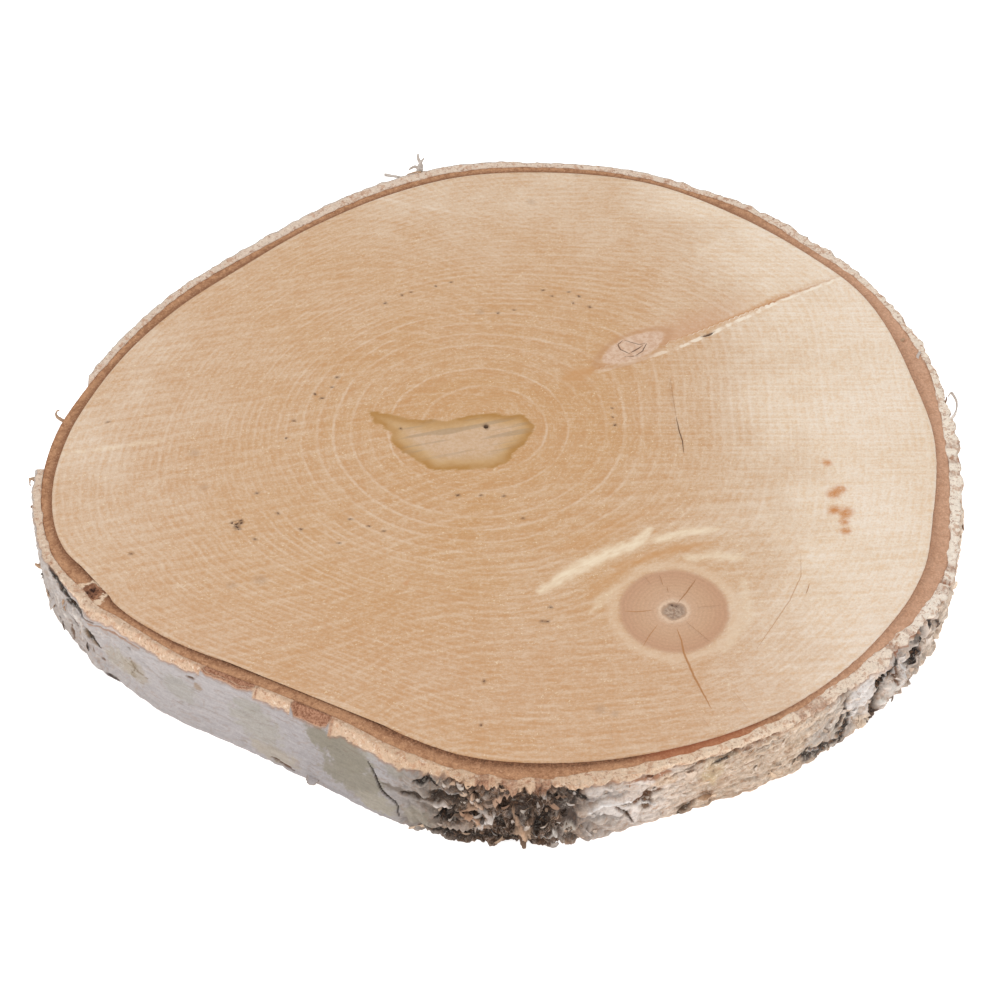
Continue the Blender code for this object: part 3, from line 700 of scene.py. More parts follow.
def make_wood_material():
    s = Shader("birch_wood")
    across, along_y = s.axes()
    broad = s.step(s.noise(28.0, 3.0), 0.3, 0.7, -0.10, 0.10)
    tone = s.plus(s.number("tone"), broad)
    base = s.ramp(tone, [
        (0.0, (205, 162, 117)), (0.3, (211, 175, 139)), (0.55, (219, 191, 162)),
        (0.8, (234, 212, 187)), (1.0, (241, 223, 203)),
    ])
    base = s.over(base, s.mix(0.5, base, (207, 170, 149)), s.number("pink"), 0.7)
    outer = s.step(tone, 0.3, 0.95)
    golden = s.mix(outer, (196, 141, 90), (224, 184, 140))
    milky = s.mix(outer, (230, 206, 181), (247, 236, 223))
    grain = s.noise(0.75, 3.0, 0.7)
    clouds = s.noise(5.5, 4.0, 0.6)

    # Fine lines along the rings and along the saw's path, with orange flecks and pale clouds between.
    along_rings = s.vector(s.times(across, 0.3), s.times(along_y, 0.3), s.number("ring_radius"))
    ring_lines = s.noise(1.0, 4.0, 0.75, along_rings)
    saw_lines = s.noise(0.9, 3.0, 0.7, s.vector(s.times(across, 0.2), s.number("saw_across"), 3.0))
    speckle = s.noise(1.2, 4.0, 0.75)
    woven = s.plus(s.times(ring_lines, 0.30), s.times(saw_lines, 0.20))
    woven = s.plus(woven, s.plus(s.times(speckle, 0.34), s.times(clouds, 0.16)))
    color = s.over(base, golden, s.step(woven, 0.48, 0.59), 0.46)
    color = s.over(color, milky, s.step(woven, 0.515, 0.42), 0.36)

    # Growth rings: a soft pale line, and a darker speckled band before it.
    age = s.plus(s.number("age"), s.sway(0.10, 5.0, 2.0))
    phase = s.math("FRACT", age)
    ring = s.math("FLOOR", s.plus(age, 0.5))
    off_line = s.times(s.math("MINIMUM", phase, s.math("SUBTRACT", 1.0, phase)), s.number("ring_gap"))
    ring_strength = s.step(s.random_of(ring), 0.0, 1.0, 0.4, 1.0)
    patchy = s.step(s.noise(24.0, 2.0), 0.38, 0.6, 0.35, 1.0)
    fade = s.step(s.number("tone"), 0.45, 1.0, 1.0, 0.75)
    fade = s.times(fade, s.step(s.number("ring_radius"), 64.0, 84.0, 1.0, 0.8))
    fine_break = s.step(s.noise(1.4, 2.0), 0.35, 0.6, 0.5, 1.0)
    outside_knot = s.step(s.number("knot"), 1.05, 1.45)
    shown = s.times(ring_strength, patchy, fade, outside_knot)
    late = s.times(s.step(phase, 0.25, 0.9), s.fall(phase, 0.9, 1.0))
    late = s.times(late, s.step(woven, 0.42, 0.56, 0.35, 1.0), s.plus(s.times(shown, 0.7), 0.3))
    color = s.over(color, golden, late, 0.36)
    line = s.times(s.fall(off_line, 0.1, 1.0), shown, fine_break)
    color = s.over(color, milky, line, 0.54)

    # Pale and dotted orange lines left by the saw.
    saw_phase = s.math("FRACT", s.plus(s.number("saw"), s.sway(0.3, 12.0, 2.0)))
    saw_line = s.bump_at(saw_phase, 0.5, 0.24, 0.02)
    saw_shade = s.bump_at(saw_phase, 0.9, 0.24, 0.0)
    saw_break = s.step(s.noise(8.0, 3.0, 0.6, s.stretch(0.3, 1.5, 1.0)), 0.38, 0.58)
    saw_shown = s.times(saw_break, fine_break, s.number("saw_show"), outside_knot)
    color = s.over(color, golden, saw_shade, saw_shown, 0.26)
    color = s.over(color, milky, saw_line, saw_shown, 0.28)
    color = s.lighten(color, s.step(grain, 0.32, 0.68, 0.95, 1.045))
    fleck = s.times(s.step(s.noise(0.8, 1.0), 0.66, 0.74), s.step(s.noise(9.0, 2.0), 0.42, 0.6))
    color = s.over(color, (247, 229, 196), fleck, 0.5)

    # Three long straight scuffs across the upper left.
    scuffed = s.times(s.step(across, -75.0, -60.0), s.fall(across, 10.0, 60.0), fine_break)
    level = s.plus(along_y, s.times(across, 0.31))
    for offset, strength in ((123.5, 0.34), (112.0, 0.2), (127.5, 0.16)):
        color = s.over(color, milky, s.bump_at(level, offset, 1.0, 0.25), scuffed, strength)

    # The stain round the pith, brushed and darker along its edge, with grey streaks inside.
    brushed = s.plus(s.noise(2.6, 4.0, 0.7, s.stretch(0.45, 1.2, 1.0, 14.0)), -0.5)
    stain = s.plus(s.number("stain"), s.times(brushed, 4.2))
    within = s.step(stain, -0.4, 0.7)
    middle = s.step(s.plus(s.number("stain"), s.times(brushed, 5.0)), 3.5, 9.0)
    filled = s.mix(middle, (203, 165, 116), (214, 184, 155))
    filled = s.over(filled, (194, 154, 108), s.step(s.noise(1.4, 4.0, 0.7), 0.4, 0.62), 0.5)
    streak = s.step(s.noise(2.5, 2.0, 0.5, s.stretch(0.09, 1.0, 1.0, 15.0)), 0.5, 0.62)
    streak_place = s.step(s.plus(along_y, s.times(across, -0.1)), -14.0, -6.0)
    filled = s.over(filled, (166, 144, 118), streak, streak_place, 0.6)
    color = s.over(color, filled, within, 0.85)
    rim = s.times(within, s.fall(s.plus(s.number("stain"), s.times(brushed, 2.2)), 0.6, 4.8))
    rim_strength = s.step(s.noise(9.0, 3.0), 0.36, 0.6, 0.5, 1.0)
    color = s.over(color, (176, 126, 62), rim, rim_strength, 0.86)

    # Pale flames and amber bands.
    feather = s.step(s.noise(2.2, 4.0, 0.7, s.stretch(0.35, 1.1, 1.0, 36.0)), 0.36, 0.6, 0.62, 1.0)
    color = s.over(color, (203, 150, 98), s.number("amber"), feather, 0.75)
    color = s.over(color, (247, 230, 202), s.number("pale_streak"), feather, 0.84)

    # The big knot: faint rings, a pale collar and a mottled grey heart.
    knot = s.plus(s.number("knot"), s.sway(0.08, 7.0, 2.0))
    in_knot = s.fall(knot, 0.94, 1.05)
    collar = s.plus(knot, s.sway(0.10, 2.4, 3.0))
    body = s.ramp(collar, [
        (0.0, (150, 124, 106)), (0.17, (158, 132, 113)), (0.215, (186, 154, 129)),
        (0.24, (222, 192, 165)), (0.34, (206, 168, 138)), (0.6, (203, 163, 131)),
        (0.9, (197, 154, 123)), (1.0, (196, 154, 124)),
    ])
    heart = s.fall(knot, 0.14, 0.22)
    body = s.over(body, (188, 164, 143), heart, s.step(s.noise(1.3, 3.0, 0.7), 0.42, 0.6))
    knot_ring = s.math("ABSOLUTE", s.plus(s.math("FRACT", s.times(knot, 13.0)), -0.5))
    ringed = s.step(knot_ring, 0.0, 0.5, 1.03, 0.975)
    body = s.lighten(body, s.times(ringed, s.step(grain, 0.35, 0.65, 0.95, 1.05)))
    body = s.over(body, (186, 142, 108), s.step(speckle, 0.5, 0.66), 0.35)
    color = s.over(color, (232, 206, 178), s.bump_at(knot, 1.12, 0.2), 0.4)
    color = s.mix(in_knot, color, body)

    # The seam with its blush above, and the almond knot beside it.
    seam = s.plus(s.number("seam"), s.sway(1.4, 4.0, 3.0))
    run = s.number("seam_run")
    on_run = s.times(s.step(run, 8.0, 24.0), s.fall(run, 122.0, 134.0))
    blush = s.times(s.step(seam, 0.0, 1.5), s.fall(seam, 6.0, 21.0), s.step(run, 22.0, 44.0))
    blush = s.times(blush, s.fall(run, 62.0, 96.0), s.step(speckle, 0.35, 0.6, 0.6, 1.0))
    color = s.over(color, (207, 159, 124), blush, 0.7)
    warm_end = s.step(run, 92.0, 124.0, 1.0, 0.25)
    warm = s.times(s.bump_at(seam, 1.5, 3.0), on_run, warm_end, s.step(speckle, 0.35, 0.6, 0.5, 1.0))
    color = s.over(color, (201, 146, 96), warm, 0.75)
    cream_break = s.step(s.noise(4.0, 3.0, 0.6), 0.38, 0.54, 0.3, 1.0)
    sharp = s.step(run, 30.0, 66.0, 0.5, 1.0)
    cream = s.times(s.bump_at(seam, -0.2, 0.95, 0.25), on_run, cream_break, sharp)
    color = s.over(color, (249, 236, 217), cream, 0.86)
    edge = s.times(s.bump_at(seam, 1.1, 0.65, 0.15), on_run, sharp, warm_end)
    color = s.over(color, (178, 114, 66), edge, cream_break, 0.7)
    almond = s.plus(s.number("almond"), s.sway(0.3, 5.0, 2.0))
    color = s.over(color, (192, 143, 104), s.bump_at(almond, 1.25, 0.5), 0.5)
    fill = s.mix(s.step(s.noise(2.0, 3.0, 0.7), 0.4, 0.6), (209, 172, 145), (226, 197, 174))
    color = s.mix(s.step(almond, 0.8, 1.1, 0.85, 0.0), color, fill)

    color = s.over(color, (203, 138, 84), s.number("rust"), s.step(speckle, 0.3, 0.55, 0.5, 1.0))
    color = s.over(color, (160, 128, 104), s.number("grey"), 0.32)
    color = s.over(color, (180, 124, 74), s.step(s.number("brown_mark"), 0.05, 0.8), 0.9)
    color = s.over(color, (84, 58, 44), s.step(s.number("black_mark"), 0.08, 0.5), 0.88)
    relief = s.plus(s.times(grain, 0.6), s.times(line, 0.4))
    return s.finish(color, 0.62, relief, 0.12, 0.25)


def make_wood():
    """The sawn disc: a finely meshed upper face, a side, and a plainer underside."""
    top, top_faces, top_rim = sawn_face(TOP_CELL, True)
    under, under_faces, under_rim = sawn_face(UNDER_CELL, False)
    x, y, drop, brown, black = np.array(top).T
    saw_relief = 0.05 * noise_at(x * 0.3, y, np.zeros(len(x)), 2.5)
    z = THICKNESS + drop + np.minimum(0.0, saw_relief)
    base = len(top)
    vertices = list(zip(x, y, z)) + [(p[0], p[1], 0.0) for p in under]
    faces = top_faces + [tuple(base + i for i in face[::-1]) for face in under_faces]
    turns = np.radians(EDGE_ANGLES)
    loops = [[base + i for i in under_rim]]
    for height in (EDGE_ROUNDING, THICKNESS - EDGE_ROUNDING):
        loops.append(list(range(len(vertices), len(vertices) + EDGE_COLUMNS)))
        radius = wood_radius(EDGE_ANGLES, height)
        vertices += list(zip(radius * np.cos(turns), radius * np.sin(turns), np.full(EDGE_COLUMNS, height)))
    loops.append(top_rim)
    for lower, upper in zip(loops, loops[1:]):
        for i in range(EDGE_COLUMNS):
            j = (i + 1) % EDGE_COLUMNS
            faces.append((lower[i], lower[j], upper[j], upper[i]))
    values = wood_values(*np.array(vertices)[:, :2].T)
    rest = np.zeros(len(vertices) - base)
    values["brown_mark"] = np.append(brown, rest)
    values["black_mark"] = np.append(black, rest)
    return mesh_object("sawn_wood", vertices, faces, make_wood_material(), values)


def rim_relief(angle):
    return THICKNESS + OUTER_BARK_LIFT - 0.9 * curve_at(DEPTH, angle) * abs(round_noise(angle, 22.0, 7.0))


def torn_down_to(angle):
    """Height above which a tear has taken the outer bark away, or None where there is no tear."""
    for start, end, gone_above in TEARS:
        if start < angle < end:
            share = (angle - start) / (end - start)
            depth = min(1.0, 2.4 * math.sin(math.pi * share) ** 0.7)
            ragged = noise.noise(Vector((angle * 0.45, 2.0, 5.0)))
            ragged += 0.3 * noise.noise(Vector((angle * 2.1, 7.0, 5.0)))
            return THICKNESS + 1.0 - (THICKNESS + 1.0 - gone_above) * depth * (1.0 + 0.4 * ragged)
    return None


def bark_relief(angle, height):
    """The part's relief: plates parted by fissures, and the bulge of a branch stub."""
    depth = curve_at(DEPTH, angle)
    turn = math.radians(angle)
    place = Vector((math.cos(turn) * BARK_RADIUS, math.sin(turn) * BARK_RADIUS, height))
    plates = noise.voronoi(Vector((place.x / 8.0, place.y / 8.0, place.z / 7.0)))[0]
    fissure = min(1.0, (plates[1] - plates[0]) * 3.0) - 0.7
    swell = noise.noise(place / 14.0)
    rough = noise.noise(place / 4.0)
    relief = depth * (0.8 * fissure + 0.6 * swell + 0.4 * rough)
    across = angle_between(angle, STUB_ANGLE) * math.pi / 180.0 * BARK_RADIUS
    from_stub = math.hypot(across, height - STUB_HEIGHT) / STUB_RADIUS
    relief += STUB_BULGE * (math.exp(-from_stub**2) - 0.9 * math.exp(-((3.0 * from_stub) ** 2)))
    return relief, fissure, place


# The bark's main tones round the slice, as they show on the wall: angle, colour and share of dark fissures.
BARK_TONES = [
    (0, (214, 194, 174, 0.25)), (15, (206, 184, 162, 0.25)), (40, (205, 190, 176, 0.2)),
    (70, (206, 199, 194, 0.12)), (120, (205, 199, 195, 0.12)), (160, (204, 196, 190, 0.1)),
    (190, (203, 194, 188, 0.12)), (204, (200, 191, 186, 0.1)), (214, (198, 190, 188, 0.04)),
    (240, (200, 191, 190, 0.02)), (256, (196, 188, 187, 0.05)), (262, (170, 158, 148, 0.4)),
    (266, (138, 114, 96, 0.85)), (274, (132, 110, 94, 0.85)), (280, (186, 174, 166, 0.35)),
    (287, (206, 192, 182, 0.1)), (294, (200, 174, 150, 0.12)), (306, (202, 178, 154, 0.15)),
    (312, (196, 184, 172, 0.5)), (318, (214, 204, 198, 0.35)), (326, (196, 184, 174, 0.55)),
    (334, (212, 196, 178, 0.35)), (346, (216, 198, 178, 0.25)),
]


# Patches on the wall: angle, height, half width in degrees, half height, tilt, colour, strength, how far
# they stand out. The dark sunken ones are partly painted shade in their hollows.
GREEN = (138, 130, 116)
# Near black for hollows: partly the bark's own black, partly painted shade in them.
HOLLOW_BLACK = (44, 35, 30)
UMBER = (88, 64, 48)
CHALK = (220, 208, 200)
ASH = (128, 118, 112)
BARK_PATCHES = [
    (209.2, 24.2, 0.9, 1.6, 0.0, HOLLOW_BLACK, 1.0, -1.2), (211.8, 25.4, 1.5, 0.7, -20.0, UMBER, 0.8, -0.4),
    (211.6, 17.0, 0.8, 3.4, -25.0, (96, 78, 56), 0.9, -0.6),
    (212.8, 14.4, 0.7, 1.8, -20.0, (110, 88, 66), 0.8, -0.3),
    (206.8, 5.0, 0.4, 4.5, 20.0, UMBER, 0.8, -0.6), (214.8, 1.4, 1.0, 1.0, 0.0, HOLLOW_BLACK, 0.8, -0.4),
    (219.0, 15.6, 0.7, 1.6, 0.0, (110, 92, 68), 0.7, 0.2),
    (218.8, 10.4, 0.6, 1.5, 0.0, (112, 94, 70), 0.7, 0.2),
    (219.0, 13.0, 2.4, 5.0, 0.0, (162, 149, 131), 0.55, 0.2),
    (216.6, 12.6, 2.8, 5.0, 0.0, (168, 157, 142), 0.6, 0.0), (213.6, 7.6, 0.4, 0.8, 0.0, UMBER, 0.7, -0.2),
    (212.2, 9.4, 0.3, 0.7, 0.0, UMBER, 0.7, -0.2), (218.2, 22.0, 0.4, 0.9, 0.0, ASH, 0.8, -0.2),
    (215.6, 27.4, 3.6, 1.5, 0.0, (205, 186, 174), 0.75, 0.3),
    (226.2, 16.4, 2.6, 5.4, 10.0, (160, 154, 145), 0.6, 0.0),
    (227.8, 24.2, 0.6, 0.5, 0.0, UMBER, 0.8, -0.4),
    (229.0, 21.4, 0.7, 1.6, 0.0, (150, 126, 104), 0.7, 0.0),
    (237.6, 15.0, 4.0, 8.4, 10.0, (164, 157, 147), 0.7, 0.1),
    (236.0, 22.0, 2.4, 3.2, 0.0, (158, 152, 143), 0.6, 0.0),
    (240.2, 5.4, 4.2, 3.6, -4.0, (168, 156, 141), 0.7, 0.1),
    (241.4, 2.6, 1.6, 0.4, 0.0, (92, 70, 56), 0.95, -0.5), (247.0, 22.0, 2.4, 4.6, 0.0, GREEN, 0.9, 0.2),
    (250.6, 20.6, 4.2, 7.6, 0.0, GREEN, 0.95, 0.25), (252.0, 12.0, 4.4, 7.0, -10.0, GREEN, 0.9, 0.25),
    (255.0, 6.0, 2.8, 4.2, 0.0, (156, 147, 133), 0.9, 0.25),
    (257.6, 23.6, 1.6, 2.6, 0.0, (146, 138, 126), 0.6, 0.0),
    (254.0, 25.0, 1.4, 2.0, 0.0, (170, 164, 156), 0.6, 0.0),
    (258.6, 15.6, 2.6, 1.5, 6.0, (112, 100, 90), 0.85, -0.2),
    (260.4, 6.6, 2.0, 4.0, 0.0, (150, 141, 127), 0.8, 0.2), (263.8, 20.0, 1.9, 1.5, 0.0, HOLLOW_BLACK, 0.95, -1.0),
    (264.4, 11.4, 1.5, 2.0, 20.0, HOLLOW_BLACK, 1.0, -1.0), (263.6, 15.6, 1.2, 1.0, 0.0, CHALK, 0.8, 0.6),
    (265.2, 3.0, 3.2, 1.6, 0.0, HOLLOW_BLACK, 0.9, -0.6), (267.2, 26.2, 1.0, 2.0, 0.0, UMBER, 1.0, -1.4),
    (272.2, 22.0, 2.6, 4.6, 0.0, (72, 52, 40), 0.95, -2.2),
    (271.8, 15.6, 1.3, 3.0, 0.0, (86, 78, 74), 0.9, -0.8),
    (269.2, 22.8, 1.2, 2.6, 0.0, (150, 132, 120), 0.8, 0.8),
    (268.6, 16.4, 1.6, 1.2, 30.0, CHALK, 0.85, 1.0),
    (266.8, 17.0, 0.8, 2.0, 0.0, (196, 160, 132), 0.9, 0.8),
    (267.6, 9.6, 1.8, 2.4, 0.0, (166, 146, 130), 0.8, 0.4),
    (272.6, 6.6, 1.2, 4.0, -10.0, (190, 160, 134), 0.9, 0.8),
    (274.4, 27.6, 1.0, 1.6, 0.0, (150, 104, 78), 0.8, -0.4),
    (274.8, 13.0, 0.9, 5.0, -8.0, HOLLOW_BLACK, 1.0, -2.0),
    (277.2, 19.4, 1.4, 4.0, 20.0, (84, 76, 72), 0.85, -0.4),
    (277.2, 12.2, 0.5, 1.2, 0.0, (70, 62, 56), 0.9, -0.5),
    (277.6, 8.6, 1.0, 3.4, 0.0, (206, 196, 184), 0.9, 0.3), (276.6, 6.0, 0.5, 2.6, 0.0, ASH, 0.8, 0.0),
    (278.2, 27.6, 0.9, 2.6, 0.0, (62, 46, 38), 1.0, -1.4), (280.6, 26.0, 1.2, 2.0, 0.0, CHALK, 0.8, 0.4),
    (281.0, 22.0, 1.6, 1.6, 8.0, (150, 142, 138), 0.8, 0.0),
    (282.6, 14.0, 3.0, 5.0, 0.0, (216, 206, 200), 0.8, 0.2),
    (283.0, 9.0, 1.2, 2.2, 20.0, (150, 140, 134), 0.7, 0.0),
    (285.2, 9.0, 0.7, 6.0, 0.0, (224, 212, 204), 0.9, 0.8),
    (286.6, 15.0, 0.7, 5.6, 6.0, (96, 72, 54), 0.95, -0.9),
    (286.4, 26.8, 2.8, 0.6, 2.0, (152, 106, 78), 0.9, -0.3),
    (288.6, 23.0, 1.8, 2.8, 12.0, (214, 186, 160), 0.9, 0.6),
    (291.6, 3.6, 0.9, 3.0, 10.0, (104, 84, 66), 0.9, -0.6),
    (294.6, 20.0, 1.5, 6.0, 0.0, (196, 172, 136), 0.5, 0.2), (292.4, 27.6, 1.0, 0.5, 0.0, HOLLOW_BLACK, 0.9, -0.5),
    (296.0, 26.6, 1.4, 1.8, -20.0, (130, 112, 92), 0.8, -0.4),
    (298.6, 26.0, 0.7, 1.2, 0.0, UMBER, 0.8, -0.4),
    (300.6, 27.6, 2.6, 0.5, 0.0, (140, 108, 84), 0.9, -0.5),
    (301.4, 23.4, 2.2, 1.6, 0.0, (180, 164, 148), 0.7, 0.1),
    (307.8, 6.0, 1.0, 3.4, 0.0, (92, 82, 76), 0.95, -0.2),
    (309.6, 4.0, 0.8, 2.8, 0.0, (56, 48, 42), 0.95, -0.5),
    (309.0, 14.0, 2.4, 4.0, 0.0, (178, 168, 160), 0.7, 0.1),
    (312.4, 24.0, 0.6, 2.8, 10.0, (66, 58, 52), 0.9, -0.6),
    (312.0, 15.0, 0.5, 4.0, -12.0, (70, 60, 54), 0.9, -0.6),
    (312.8, 6.0, 0.7, 4.0, 8.0, (58, 50, 44), 0.9, -0.6),
    (315.4, 21.0, 2.4, 8.4, 0.0, (228, 220, 215), 0.95, 0.5),
    (314.4, 13.0, 1.0, 5.0, 0.0, (214, 206, 200), 0.8, 0.2),
    (318.8, 15.0, 0.8, 9.0, 5.0, (40, 32, 28), 1.0, -2.2),
    (318.6, 2.4, 1.2, 2.6, 0.0, (52, 40, 34), 0.95, -0.8),
    (316.2, 3.4, 1.2, 2.8, 0.0, (226, 204, 180), 0.9, 0.8),
    (321.0, 20.0, 1.3, 5.0, 0.0, (160, 152, 148), 0.85, 0.0),
    (322.0, 8.0, 1.4, 5.0, 0.0, (216, 208, 200), 0.8, 0.3),
    (324.4, 18.0, 0.7, 4.0, 10.0, (52, 46, 42), 0.95, -0.8),
    (322.2, 28.0, 1.6, 0.8, 0.0, (158, 106, 82), 0.9, -0.6),
    (326.8, 13.0, 0.5, 1.6, 0.0, (70, 62, 56), 0.9, -0.4),
    (326.2, 27.0, 0.8, 3.6, 0.0, (84, 78, 74), 0.85, -0.6),
    (324.9, 26.5, 0.6, 2.6, 0.0, (92, 86, 80), 0.85, -0.5),
    (345.0, 1.0, 0.5, 1.0, 0.0, (50, 36, 30), 0.95, -0.4),
    (343.4, 0.8, 0.7, 1.0, 0.0, (64, 50, 44), 0.9, -0.4),
    (339.0, 17.5, 0.6, 1.6, 0.0, (56, 44, 38), 0.9, -0.6),
    (337.6, 24.0, 1.2, 4.0, 0.0, (206, 170, 106), 0.7, -0.6),
]


# Round the slice, as (angle, value): how torn into plates the wall is, the plates' length and height in
# millimetres, how shredded it is, and how bright.
TORN = [
    (0, 0.3), (30, 0.3), (60, 0.2), (120, 0.15), (180, 0.15), (205, 0.2), (215, 0.06), (225, 0.03),
    (254, 0.03), (260, 0.2), (265, 0.7), (269, 1.0), (276, 1.0), (280, 0.5), (284, 0.3), (290, 0.35),
    (308, 0.4), (314, 0.6), (330, 0.5), (340, 0.35), (350, 0.25),
]
PLATE_LENGTH = [
    (0, 5), (60, 7), (120, 8), (180, 7), (210, 8), (250, 9), (258, 10), (264, 7), (269, 4.0), (276, 4.0),
    (281, 8), (290, 9), (302, 8), (310, 5.6), (318, 4.6), (328, 4.2), (338, 5), (350, 5),
]
PLATE_HEIGHT = [
    (0, 4), (60, 5), (180, 4), (250, 4), (262, 2.6), (268, 3.2), (276, 4), (284, 3), (294, 2.4),
    (306, 2.6), (314, 5), (328, 5.6), (340, 4),
]
SHREDDED = [
    (0, 0.1), (20, 0.1), (60, 0.05), (120, 0.03), (180, 0.05), (204, 0.08), (220, 0.0), (254, 0.0),
    (261, 0.15), (266, 0.6), (270, 0.9), (276, 0.8), (280, 0.25), (286, 0.05), (296, 0.08), (308, 0.1),
    (313, 0.2), (320, 0.12), (328, 0.2), (338, 0.08), (350, 0.05),
]
WALL_LIGHT = [
    (0, 1.05), (100, 1.0), (185, 0.97), (204, 0.92), (230, 0.89), (256, 0.85), (270, 0.94), (283, 1.05),
    (300, 1.06), (320, 1.14), (340, 1.12),
]
TORN_SHARE = sampled(TORN)
PLATE_TALL = sampled(PLATE_HEIGHT)
SHRED = sampled(SHREDDED)
SHINE = sampled(WALL_LIGHT)
PLATE_STEP = BARK_RADIUS * math.radians(CURVE_STEP) / sampled(PLATE_LENGTH)
BACK_ANGLE = 90.0
PLATE_RUN = np.cumsum(np.roll(PLATE_STEP[:-1], -round(BACK_ANGLE / CURVE_STEP)))

# Colours of the torn plates, as they show: share of the plates up to which each is used, colour. The
# near-black scar shades are partly painted shade among the torn plates.
SCAR_SHADES = [
    (0.46, (30, 22, 18)), (0.66, (68, 49, 38)), (0.78, (126, 96, 77)), (0.89, (204, 166, 138)),
    (0.94, (206, 197, 190)), (1.0, (238, 222, 206)),
]
PALE_SHADES = [
    (0.08, (132, 112, 98)), (0.24, (200, 178, 160)), (0.5, (224, 203, 182)), (0.8, (232, 220, 210)),
    (1.0, (244, 236, 230)),
]


def torn_plates(angle, height, place, size, seed):
    """Distance from the nearest plate's border, its tilt there, and three random numbers of the plate."""
    turned = (angle - BACK_ANGLE) % 360.0
    run = float(np.interp(turned / CURVE_STEP, np.arange(len(PLATE_RUN)), PLATE_RUN))
    bend = noise.noise(place / 6.5 + Vector((seed, 0.0, 0.0)))
    bend_up = noise.noise(place / 6.5 + Vector((0.0, seed, 9.0)))
    tall = curve_at(PLATE_TALL, angle)
    where = Vector((run / size + 0.6 * bend, height / tall / size + 0.6 * bend_up, seed))
    away, points = noise.voronoi(where)
    cell = points[0] * 7.31
    chances = [noise.cell(cell + Vector((k * 3.7, k * 1.3, 0.0))) * 0.5 + 0.5 for k in range(3)]
    off = where - points[0]
    tilt = off.x * (chances[1] - 0.5) * 2.0 + off.y * (chances[2] - 0.5) * 2.0
    return away[1] - away[0], tilt, chances


def shade_of(table, chance):
    shade = next((color for share, color in table if chance <= share), table[-1][1])
    return np.array(shade, dtype=float)


def patch_share(shape, angle, height, warp):
    """How far a place is inside a patch, 0 to 1, with an uneven edge."""
    centre, level, half_angle, half_height, tilt = shape
    across = angle_between(angle, centre) / half_angle
    up = (height - level) / half_height
    # Outside this the uneven edge can't reach.
    if abs(across) > 2.6 or abs(up) > 2.8:
        return 0.0
    turn = math.radians(tilt)
    u = across + math.sin(turn) * up * 1.4
    reach = math.sqrt(u * u + up * up) + warp
    return 1.0 - eased(0.72, 1.12, reach)
